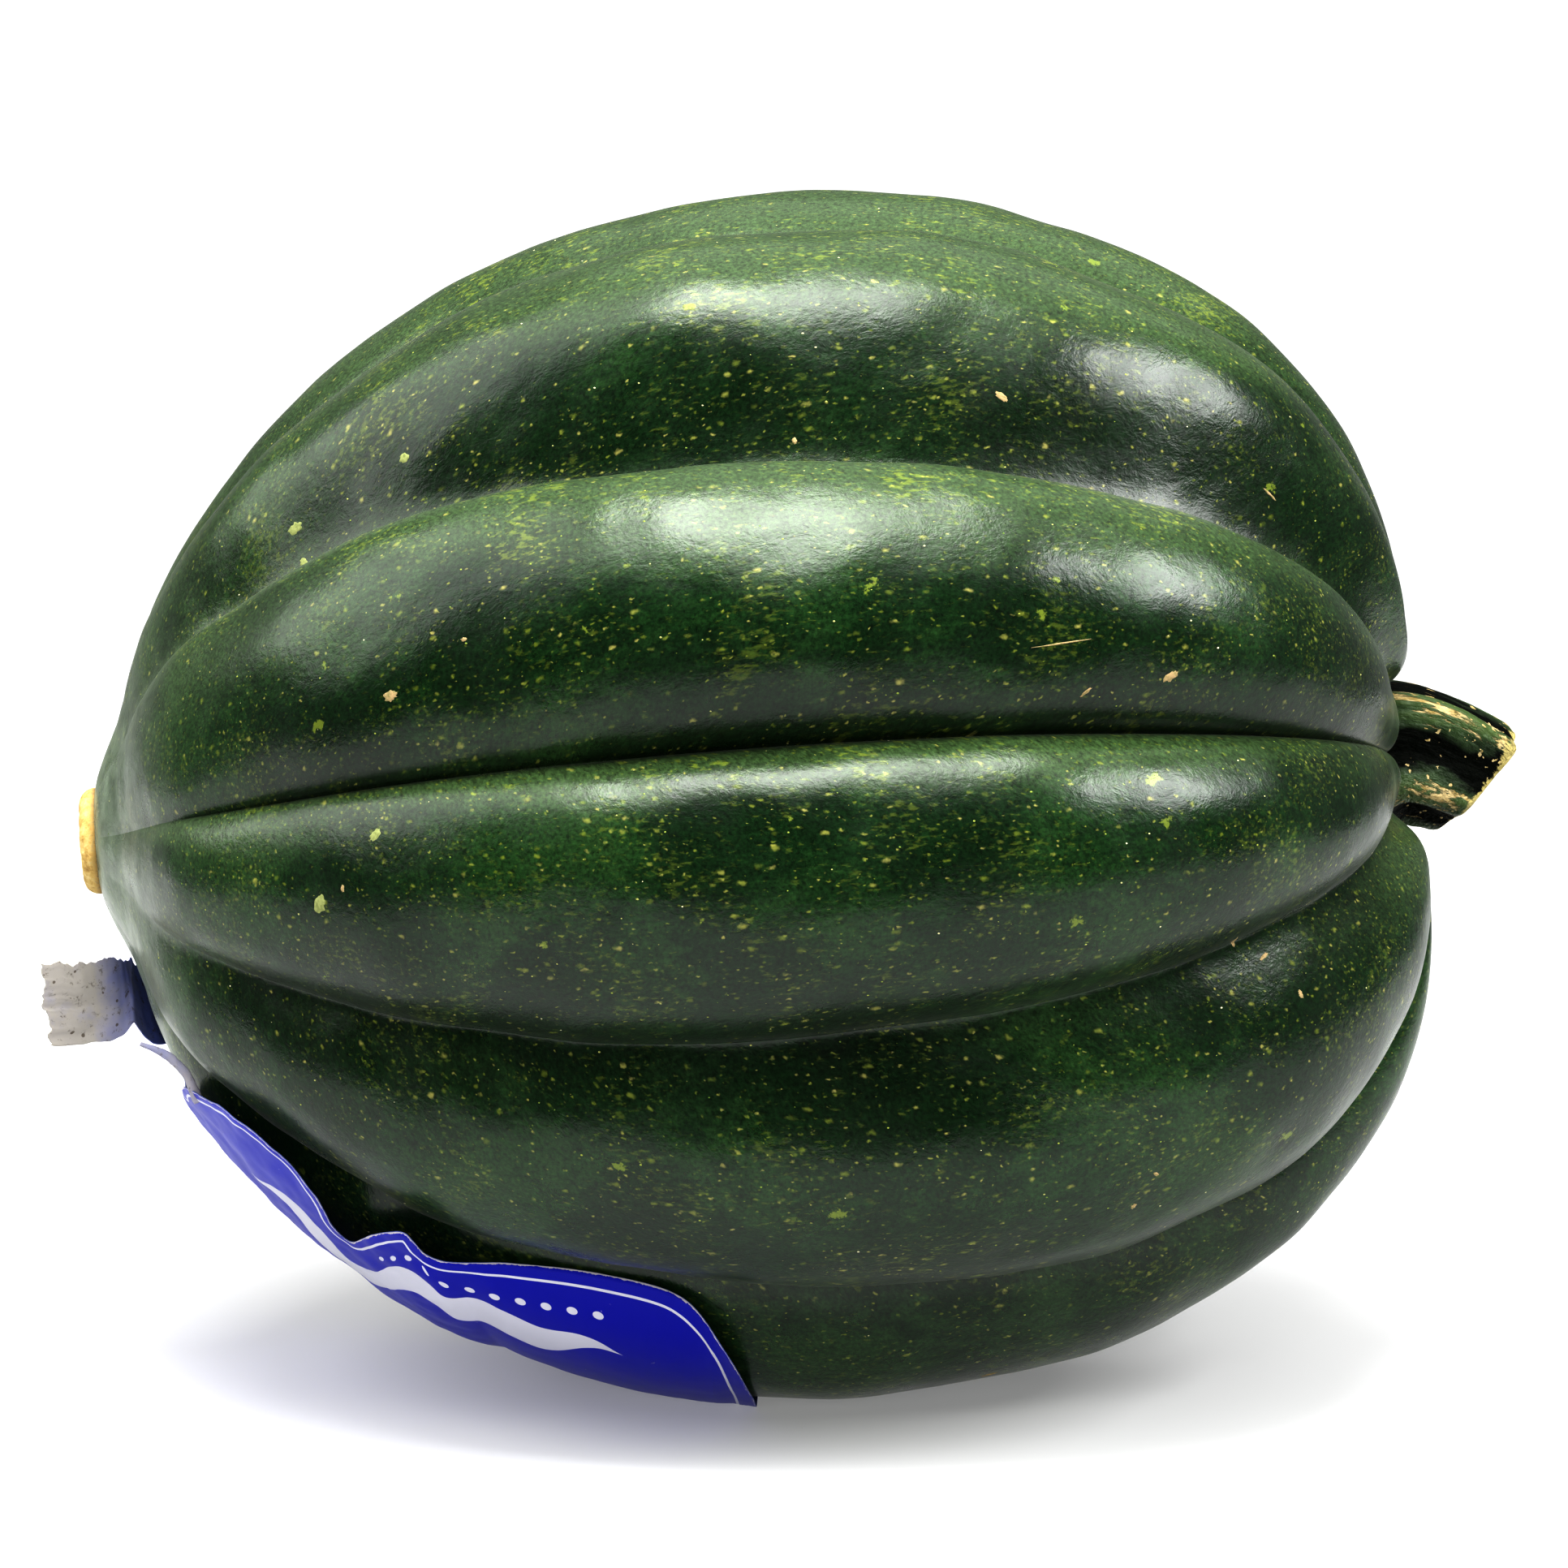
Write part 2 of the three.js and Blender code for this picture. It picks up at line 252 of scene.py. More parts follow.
def ribTable():
    # one vertex for each groove, with what the tree needs to know of the rib above it
    ribs = fruit["ribs"]
    mesh = bpy.data.meshes.new("ribTable")
    mesh.from_pydata([(i, 0, 0) for i in range(len(ribs) + 1)], [], [])
    bends = []
    sizes = []
    flanks = []
    for i in range(len(ribs) + 1):
        blossom, middle, stem, girth, reach, lower, upper, lean = ribs[i % len(ribs)]
        turn = 360 * (i // len(ribs))
        bend = ((middle + turn), (stem - blossom) / 2, (stem + blossom) / 2 - middle)
        bends.append([b * degree for b in bend])
        sizes.append((girth - 1, reach * mm, 0))
        flanks.append((lower, upper, lean))
    addAttribute(mesh, "grooveBend", "FLOAT_VECTOR", bends)
    addAttribute(mesh, "ribSize", "FLOAT_VECTOR", sizes)
    addAttribute(mesh, "ribFlank", "FLOAT_VECTOR", flanks)
    return mesh


def profileCurves(add, rows):
    # the Bezier pieces of one profile, joined end to end in the XZ plane
    joined = add("GeometryNodeJoinGeometry")
    for start, startHandle, endHandle, end in reversed(rows):
        piece = add("GeometryNodeCurvePrimitiveBezierSegment", {
            "Resolution": 220, "Start": (start[0] * mm, 0, start[1] * mm),
            "Start Handle": (startHandle[0] * mm, 0, startHandle[1] * mm),
            "End Handle": (endHandle[0] * mm, 0, endHandle[1] * mm),
            "End": (end[0] * mm, 0, end[1] * mm)}, mode="POSITION")
        joined.id_data.links.new(piece.outputs[0], joined.inputs[0])
    return joined


def ribbedFruitTree(material):
    tree, given = newTree("ribbedFruit", [
        ("Columns", "NodeSocketInt"), ("Rows", "NodeSocketInt"), ("Ribs", "NodeSocketInt"),
        ("Valley", "NodeSocketFloat"), ("Blossom Valley", "NodeSocketFloat"),
        ("Blossom Fill", "NodeSocketFloat"), ("End Crowding", "NodeSocketFloat"), ("Tilt", "NodeSocketFloat"),
        ("Swelling Size", "NodeSocketFloat"), ("Swelling Height", "NodeSocketFloat"),
        ("Dimple Size", "NodeSocketFloat"), ("Dimple Height", "NodeSocketFloat")])
    add = partial(addNode, tree)

    def ofRib(name, index):
        # what the rib table holds under this name for the rib with this number
        column = add("GeometryNodeInputNamedAttribute", {"Name": name}, data_type="FLOAT_VECTOR")
        return add("GeometryNodeSampleIndex", {
            "Geometry": given["Geometry"], "Value": column, "Index": index}, data_type="FLOAT_VECTOR",
            clamp=True)

    # a grid of columns round the fruit by rows along it, with one more row at each end for the poles
    gridX = add(mathNode, [given["Columns"], 1.0], operation="ADD")
    gridY = add(mathNode, [given["Rows"], 3.0], operation="ADD")
    grid, place = unitGrid(add, gridX, gridY)

    # which rib, and how far across it
    ribPlace = add(mathNode, [place, given["Ribs"]], operation="MULTIPLY")
    rib = add(mathNode, [ribPlace], operation="FLOOR")
    nextRib = add(mathNode, [rib, 1.0], operation="ADD")
    across = add(mathNode, [ribPlace], operation="FRACT")
    acrossTurn = add(mathNode, [across, math.pi], operation="MULTIPLY")
    acrossCos = add(mathNode, [acrossTurn], operation="COSINE")
    share = add(mathNode, [acrossCos, -0.5, 0.5], operation="MULTIPLY_ADD")
    acrossSin = add(mathNode, [acrossTurn], operation="SINE")
    # how far along the fruit, closer spaced at its ends, and the pinch of the pole rows
    rowTotal = add(mathNode, [given["Rows"], 2.0], operation="ADD")
    row = add(mathNode, [place.outputs[1], rowTotal], operation="MULTIPLY")
    even = add(rangeNode, {
        "Value": add(mathNode, [row, 1.0], operation="SUBTRACT"), "From Min": 0.0,
        "From Max": given["Rows"]})
    evenTurn = add(mathNode, [even, math.pi], operation="MULTIPLY")
    evenCos = add(mathNode, [evenTurn], operation="COSINE")
    eased = add(mathNode, [evenCos, -0.5, 0.5], operation="MULTIPLY_ADD")
    easedMore = add(mathNode, [eased, even], operation="SUBTRACT")
    along = add(mathNode, [easedMore, given["End Crowding"], even], operation="MULTIPLY_ADD")
    fromEnd = add(mathNode, [rowTotal, row], operation="SUBTRACT")
    pinch = add(mathNode, [row, fromEnd], operation="MINIMUM", use_clamp=True)

    # height of the rib over its grooves, which soften and fill up towards the blossom end
    toBlossom = add(rangeNode, {
        "Value": along, "From Min": 0.18, "From Max": 0.03}, interpolation_type="SMOOTHSTEP")
    valley = add("ShaderNodeMix", {0: toBlossom, 2: given["Valley"], 3: given["Blossom Valley"]})
    valleySquared = add(mathNode, [valley, valley], operation="MULTIPLY")
    sinSquared = add(mathNode, [acrossSin, acrossSin, valleySquared], operation="MULTIPLY_ADD")
    rounded = add(mathNode, [sinSquared], operation="SQRT")
    crestSquared = add(mathNode, [valleySquared, 1.0], operation="ADD")
    crestRounded = add(mathNode, [crestSquared], operation="SQRT")
    plump = add(rangeNode, {"Value": rounded, "From Min": valley, "From Max": crestRounded})
    flankParts = add("ShaderNodeSeparateXYZ", [ofRib("ribFlank", rib)])
    upperHalf = add(mathNode, [across, 0.5], operation="GREATER_THAN")
    flankPower = add("ShaderNodeMix", {0: upperHalf, 2: flankParts, 3: flankParts.outputs[1]})
    shaped = add(mathNode, [plump, flankPower], operation="POWER")
    fill = add(mathNode, [toBlossom, given["Blossom Fill"]], operation="MULTIPLY")
    swell = add("ShaderNodeMix", {0: fill, 2: shaped, 3: 1.0})

    # angle round the axis, between the two grooves of the rib
    t = add(mathNode, [along, 2.0, -1.0], operation="MULTIPLY_ADD")
    tSquared = add(mathNode, [t, t], operation="MULTIPLY")
    powers = add("ShaderNodeCombineXYZ", [1.0, t, tSquared])
    lowAngle, highAngle = [add(vectorNode, [
        ofRib("grooveBend", index), powers], operation="DOT_PRODUCT").outputs["Value"] for index in (rib,
        nextRib)]
    ribWidth = add(mathNode, [highAngle, lowAngle], operation="SUBTRACT")
    shareLeft = add(mathNode, [1.0, share], operation="SUBTRACT")
    shareBoth = add(mathNode, [share, shareLeft], operation="MULTIPLY")
    leaning = add(mathNode, [shareBoth, flankParts.outputs[2], share], operation="MULTIPLY_ADD")
    angle = add(mathNode, [ribWidth, leaning, lowAngle], operation="MULTIPLY_ADD")

    # crest and groove profiles at this place, with the rib's own girth and stem reach
    sizeParts = add("ShaderNodeSeparateXYZ", [ofRib("ribSize", rib)])
    profiles = []
    for rows in (fruit["crest"], fruit["groove"]):
        profiles.append(add("GeometryNodeSampleCurve", {
            "Curves": profileCurves(add, rows), "Factor": along}, mode="FACTOR", use_all_curves=True))
    alongTurn = add(mathNode, [along, math.pi], operation="MULTIPLY")
    middle = add(mathNode, [alongTurn], operation="SINE")
    girth = add(mathNode, [sizeParts, middle, 1.0], operation="MULTIPLY_ADD")
    girthScale = add("ShaderNodeCombineXYZ", [1.0, 1.0, girth])
    rise = add(rangeNode, {
        "Value": along, "From Min": 0.5, "From Max": 0.9}, interpolation_type="SMOOTHSTEP")
    fall = add(rangeNode, {
        "Value": along, "From Min": 0.93, "From Max": 1.0, "To Min": 1.0, "To Max": 0.0},
        interpolation_type="SMOOTHSTEP")
    shoulder = add(mathNode, [rise, fall], operation="MULTIPLY")
    reach = add(mathNode, [shoulder, sizeParts.outputs[1]], operation="MULTIPLY")
    reachShift = add("ShaderNodeCombineXYZ", [reach])
    crest = add(vectorNode, [
        profiles[0].outputs["Position"], girthScale, reachShift], operation="MULTIPLY_ADD")
    depth = add(vectorNode, [crest, profiles[1].outputs["Position"]], operation="SUBTRACT")
    raised = add(vectorNode, {0: depth, "Scale": swell}, operation="SCALE")
    section = add(vectorNode, [profiles[1].outputs["Position"], raised], operation="ADD")
    sectionParts = add("ShaderNodeSeparateXYZ", [section])

    # skin coordinate: along the fruit, and round it at the crest's radius, so that it has no seam
    crestParts = add("ShaderNodeSeparateXYZ", [crest])
    cosine = add(mathNode, [angle], operation="COSINE")
    sine = add(mathNode, [angle], operation="SINE")
    skinY = add(mathNode, [cosine, crestParts.outputs[2]], operation="MULTIPLY")
    skinZ = add(mathNode, [sine, crestParts.outputs[2]], operation="MULTIPLY")
    skin = add("ShaderNodeCombineXYZ", [crestParts, skinY, skinZ])

    # uneven swellings and small dimples, added to the radius
    radius = sectionParts.outputs[2]
    for sizeName, heightName, stretch in (
            ("Swelling Size", "Swelling Height", 0.75), ("Dimple Size", "Dimple Height", 0.6)):
        stretched = add(vectorNode, [skin, (stretch, 1, 1)], operation="MULTIPLY")
        frequency = add(mathNode, [1.0, given[sizeName]], operation="DIVIDE")
        pattern = add(noiseNode, {
            "Vector": stretched, "Scale": frequency, "Detail": 1.5, "Roughness": 0.4})
        centredPattern = add(mathNode, [pattern, 0.55], operation="SUBTRACT")
        height = add(mathNode, [centredPattern, given[heightName], radius], operation="MULTIPLY_ADD")
        radius = height
    pinched = add(mathNode, [radius, pinch], operation="MULTIPLY")
    backY = add(mathNode, [pinched, cosine], operation="MULTIPLY")
    pointY = add(mathNode, [backY, -1.0], operation="MULTIPLY")
    pointZ = add(mathNode, [pinched, sine], operation="MULTIPLY")
    point = add("ShaderNodeCombineXYZ", [sectionParts, pointY, pointZ])
    lean = add(mathNode, [given["Tilt"], -1.0], operation="MULTIPLY")
    tipped = add("ShaderNodeVectorRotate", {"Vector": point, "Angle": lean}, rotation_type="Y_AXIS")

    kept = (("skin", "FLOAT_VECTOR", skin), ("swell", "FLOAT", swell), ("along", "FLOAT", along))
    finishTree(add, grid, kept, tipped, material)
    return tree


# Rind: the waxy outer skin of a winter squash, smooth and hard, so it has a soft broad gloss
rindLook = {
    "deep": "#0a1b0a",
    "mid": "#0f260f",
    "light": "#173414",
    "paintedTopLight": "#36492a",  # painted light: the lighter green of faces that turn upwards, as light falls on them from above
    "olive": "#8f9a35",
    "straw": "#aca55f",
    "brush": "#7d8a2e",
    "blotch": "#7f8d33",
    "pale": "#8d9a86",
    "specks": [  # mm between them, reach as a share of that, most that are shown, strength
        (0.6, 0.30, 1.0, 0.68), (1.1, 0.28, 0.8, 0.62),
    ],
    "brushSize": 0.5,
    "blotchSize": 5.6,
    "mottleSize": 0.42,
    "wrinkleSize": 2.2,
    "roughness": (0.25, 0.36),
}


def rindMaterial():
    material, tree = newMaterial("waxyRind")
    add = partial(addNode, tree)
    skin = add(storedNode, attribute_name="skin").outputs["Vector"]
    swell = add(storedNode, attribute_name="swell").outputs["Fac"]
    along = add(storedNode, attribute_name="along").outputs["Fac"]

    # slow change from deep to lighter green, with a fine mottle over it, lighter on the rib crests and darker
    # towards the grooves: painted shade in the grooves
    broad = add(noiseNode, {
        "Vector": skin, "Scale": 1 / (22 * mm), "Detail": 3.0, "Roughness": 0.55, "Distortion": 0.3})
    grain = add("ShaderNodeMapping", {"Vector": skin, "Scale": (0.5, 1, 1)})
    mottle = add(noiseNode, {"Vector": grain, "Scale": 1 / (1.6 * mm), "Detail": 5.0, "Roughness": 0.72})
    mixed = add(mathNode, [mottle, 0.55, broad], operation="MULTIPLY_ADD")
    crestLightGrooveShade = add(mathNode, [swell, 0.12, mixed], operation="MULTIPLY_ADD")
    green = addRamp(tree, crestLightGrooveShade, [
        (0.55, rindLook["deep"]), (0.86, rindLook["mid"]), (1.0, rindLook["light"])])

    # painted light: the faces that turn upwards are painted a lighter, yellower green, as light falls on them
    # from above
    facing = add("ShaderNodeSeparateXYZ", [add("ShaderNodeNewGeometry").outputs["Normal"]])
    paintedTopLight = add(rangeNode, {
        "Value": facing.outputs[2], "From Min": 0.42, "From Max": 0.86}, interpolation_type="SMOOTHSTEP")
    # the two ends are paler in their own colour, shown only on faces that turn upwards, so that part is
    # painted light from above too
    toEnds = addRamp(tree, along, [(0.1, "#ffffff"), (0.38, "#000000"), (0.74, "#000000"), (0.92, "#e8e8e8")])
    upper = add(rangeNode, {
        "Value": facing.outputs[2], "From Min": 0.1, "From Max": 0.55}, interpolation_type="SMOOTHSTEP")
    paleEndsAndTopLight = add(mathNode, [toEnds, upper], operation="MULTIPLY")
    paintedLightAndPaleEnds = add(mathNode, [paintedTopLight, paleEndsAndTopLight], operation="MAXIMUM")
    paintedLightMottle = add(mathNode, [
        add(mathNode, [mixed, 0.78], operation="SUBTRACT"), 1.1, paintedLightAndPaleEnds], operation="MULTIPLY_ADD",
        use_clamp=True)
    paintedLightGreen = add(blendNode, [paintedLightMottle, green, toLinear(rindLook["paintedTopLight"])])

    # the skin is finely speckled dark and light all over
    speckle = add(noiseNode, {
        "Vector": skin, "Scale": 1 / (rindLook["mottleSize"] * mm), "Detail": 3.0, "Roughness": 0.65})
    speckleTone = add(rangeNode, {
        "Value": speckle, "From Min": 0.3, "From Max": 0.7, "To Min": 0.42, "To Max": 1.65})
    speckled = add("ShaderNodeHueSaturation", {"Value": speckleTone, "Color": paintedLightGreen})

    # short yellow brush marks, in drifts, shown more strongly on the faces painted as lit from above
    crowd = add(noiseNode, {"Vector": skin, "Scale": 1 / (9 * mm), "Detail": 2.0})
    brushMap = add("ShaderNodeMapping", {"Vector": skin, "Scale": (0.36, 1, 1)})
    brush = add(noiseNode, {
        "Vector": brushMap, "Scale": 1 / (rindLook["brushSize"] * mm), "Detail": 3.0, "Roughness": 0.6})
    drift = add(mathNode, [crowd, 0.5, brush], operation="MULTIPLY_ADD")
    brushMark = add(rangeNode, {
        "Value": drift, "From Min": 0.82, "From Max": 1.0}, interpolation_type="SMOOTHSTEP")
    brushAmount = add(rangeNode, {"Value": paintedTopLight, "To Min": 0.22, "To Max": 0.5})
    brushShown = add(mathNode, [brushMark, brushAmount], operation="MULTIPLY")
    colour = add(blendNode, [brushShown, speckled, toLinear(rindLook["brush"])])

    # fine yellow-green flecks, a little longer along the ribs, thicker in some places than others
    stretched = add("ShaderNodeMapping", {"Vector": skin, "Scale": (0.6, 1, 1)})
    wobble = add(noiseNode, {"Vector": skin, "Scale": 1 / (0.7 * mm), "Detail": 2.0})
    bent = add(blendNode, [0.0003, stretched, wobble.outputs[1]], blend_type="LINEAR_LIGHT")
    for size, reachShare, most, strength in rindLook["specks"]:
        cells = add("ShaderNodeTexVoronoi", {
            "Vector": bent, "Scale": 1 / (size * mm), "Randomness": 1.0}, feature="F1")
        picked = add("ShaderNodeSeparateColor", [cells.outputs["Color"]])
        chance = add(rangeNode, {
            "Value": crowd, "From Min": 0.3, "From Max": 0.68, "To Min": 0.3 * most, "To Max": most})
        chosen = add(mathNode, [picked, chance], operation="LESS_THAN")
        reach = add(mathNode, [picked.outputs[1], reachShare, 0.1], operation="MULTIPLY_ADD")
        inside = add(rangeNode, {
            "Value": cells.outputs["Distance"], "From Min": reach, "From Max": 0.03, "To Min": 0.0,
            "To Max": 1.0}, interpolation_type="SMOOTHSTEP")
        fleck = add(mathNode, [inside, chosen], operation="MULTIPLY")
        amount = add(rangeNode, {
            "Value": picked.outputs[2], "To Min": 0.2 * strength, "To Max": strength})
        fleckStrength = add(mathNode, [fleck, amount], operation="MULTIPLY")
        ofStraw = add(rangeNode, {"Value": picked.outputs[2], "From Min": 0.6, "From Max": 1.0})
        fleckColour = add(blendNode, [ofStraw, toLinear(rindLook["olive"]), toLinear(rindLook["straw"])])
        colour = add(blendNode, [fleckStrength, colour, fleckColour])

    # fewer, larger blotches with ragged edges
    ragged = add(noiseNode, {"Vector": skin, "Scale": 1 / (1.1 * mm), "Detail": 3.0, "Roughness": 0.7})
    patchCells = add("ShaderNodeTexVoronoi", {
        "Vector": stretched, "Scale": 1 / (rindLook["blotchSize"] * mm)}, feature="F1")
    patchPick = add("ShaderNodeSeparateColor", [patchCells.outputs["Color"]])
    patchEdge = add(mathNode, [ragged, 0.5, patchCells.outputs["Distance"]], operation="MULTIPLY_ADD")
    patchSize = add(mathNode, [patchPick.outputs[1], 0.13, 0.25], operation="MULTIPLY_ADD")
    patch = add(rangeNode, {
        "Value": patchEdge, "From Min": patchSize,
        "From Max": add(mathNode, [patchSize, 0.05], operation="SUBTRACT")},
        interpolation_type="SMOOTHSTEP")
    patchChosen = add(mathNode, [patchPick, 0.5], operation="LESS_THAN")
    blotch = add(mathNode, [patch, patchChosen], operation="MULTIPLY")
    blotched = add(blendNode, [
        add(mathNode, [blotch, 0.6], operation="MULTIPLY"), colour, toLinear(rindLook["blotch"])])

    # grey streaks that run out from the blossom scar and fade
    streakMap = add("ShaderNodeMapping", {"Vector": skin, "Scale": (0.12, 1, 1)})
    streaks = add(noiseNode, {
        "Vector": streakMap, "Scale": 1 / (2.2 * mm), "Detail": 4.0, "Roughness": 0.6})
    nearTip = add(rangeNode, {
        "Value": along, "From Min": 0.16, "From Max": 0.0}, interpolation_type="SMOOTHSTEP")
    streakAmount = add(mathNode, [streaks, nearTip], operation="MULTIPLY")
    streaked = add(blendNode, [streakAmount, blotched, toLinear(rindLook["pale"])])

    # a fine uneven grain, which softens the gloss and breaks it up
    wrinkleMap = add("ShaderNodeMapping", {"Vector": skin, "Scale": (0.7, 1, 1)})
    wrinkles = add(noiseNode, {
        "Vector": wrinkleMap, "Scale": 1 / (rindLook["wrinkleSize"] * mm), "Detail": 4.0,
        "Roughness": 0.76, "Distortion": 0.3})
    bump = add("ShaderNodeBump", {"Strength": 0.75, "Distance": 0.12 * mm, "Height": wrinkles})
    glossNoise = add(noiseNode, {"Vector": skin, "Scale": 1 / (6 * mm), "Detail": 4.0})
    low, high = rindLook["roughness"]
    gloss = add(rangeNode, {
        "Value": glossNoise, "From Min": 0.3, "From Max": 0.7, "To Min": low, "To Max": high})
    skinShader = add("ShaderNodeBsdfPrincipled", {
        "Base Color": streaked, "Roughness": gloss, "IOR": 1.5, "Normal": bump, "Sheen Weight": 0.08,
        "Sheen Roughness": 0.3})
    add("ShaderNodeOutputMaterial", [skinShader])
    return material


def buildFruit():
    tree = ribbedFruitTree(rindMaterial())
    piece = runTree("squashRind", tree, ribTable(), {
        "Columns": fruit["columns"], "Rows": fruit["rows"], "Ribs": len(fruit["ribs"]),
        "Valley": fruit["valley"], "Blossom Valley": fruit["blossomValley"],
        "Blossom Fill": fruit["blossomFill"], "End Crowding": fruit["crowding"],
        "Tilt": fruit["tilt"] * degree,
        "Swelling Size": fruit["swellSize"] * mm, "Swelling Height": fruit["swellHeight"] * mm,
        "Dimple Size": fruit["dimpleSize"] * mm, "Dimple Height": fruit["dimpleHeight"] * mm})
    points = meshPoints(piece.data)
    low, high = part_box("squash_body")
    shift = Vector((
        (low[0] + high[0] - points[:, 0].min() - points[:, 0].max()) / 2,
        (low[1] + high[1] - points[:, 1].min() - points[:, 1].max()) / 2,
        high[2] - points[:, 2].max()))
    points += np.array(shift)
    # the blossom end is drawn out a little round the scar
    axis = np.array(placeInFruit(1, 0, 0))
    fromMiddle = points - np.array(shift)
    along = fromMiddle @ axis
    reach = np.linalg.norm(fromMiddle - along[:, None] * axis, axis=1) / mm
    push = np.interp(reach, fruit["tipReach"], fruit["tipPush"]) * (along < 0)
    points -= push[:, None] * mm * axis
    points[:, 2] = np.maximum(points[:, 2], fruit["paperGap"] * mm)
    setMeshPoints(piece.data, points)
    print("fruit:", len(piece.data.polygons), "faces, origin", tuple(round(s / mm, 2) for s in shift))
    return piece, shift


rind, fruitOrigin = buildFruit()
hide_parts("squash_body")
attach(rind, "root")


# Stem: a woody squash stalk, cut across, with corky ridges and dark valleys between them

stem = {
    "path": [(61.2, 0.4), (66, 0.9), (71.8, -1.4), (76.4, -4.4), (84, -10)],  # (along, up) in mm
    "radius": [7.2, 6.7, 6.1, 5.4, 4.8],
    "around": 220,
    "rows": 200,
    "sideShare": 0.8,  # of the rows; the others close the cut face
    "pathShare": 0.94,  # of the path that the stem takes up
    "ridges": 5,
    "ridgeAngle": 22,  # degrees
    "ridgeHeight": 0.15,  # share of the radius
    "flare": 2.0,  # mm that it widens into the fruit
    "barkSize": 1.5,
    "barkHeight": 0.8,
    "cutPoint": (78.3, 1.3),  # (along, up) in mm
    "cutAngle": -44.7,
    "skinTop": "#43552a",
    "skinMid": "#2f4420",
    # the near-black valley colour is painted shade
    "skinLow": "#1b2a13",
    "paintedValleyShade": "#040703",
    "cork": "#b6a57c",
    "corkDark": "#8d7c4c",
    "cutRim": "#a59a66",
    "pithRim": "#b39c62",
    "pith": "#9d8452",
    "pithDeep": "#6d5a35",
}


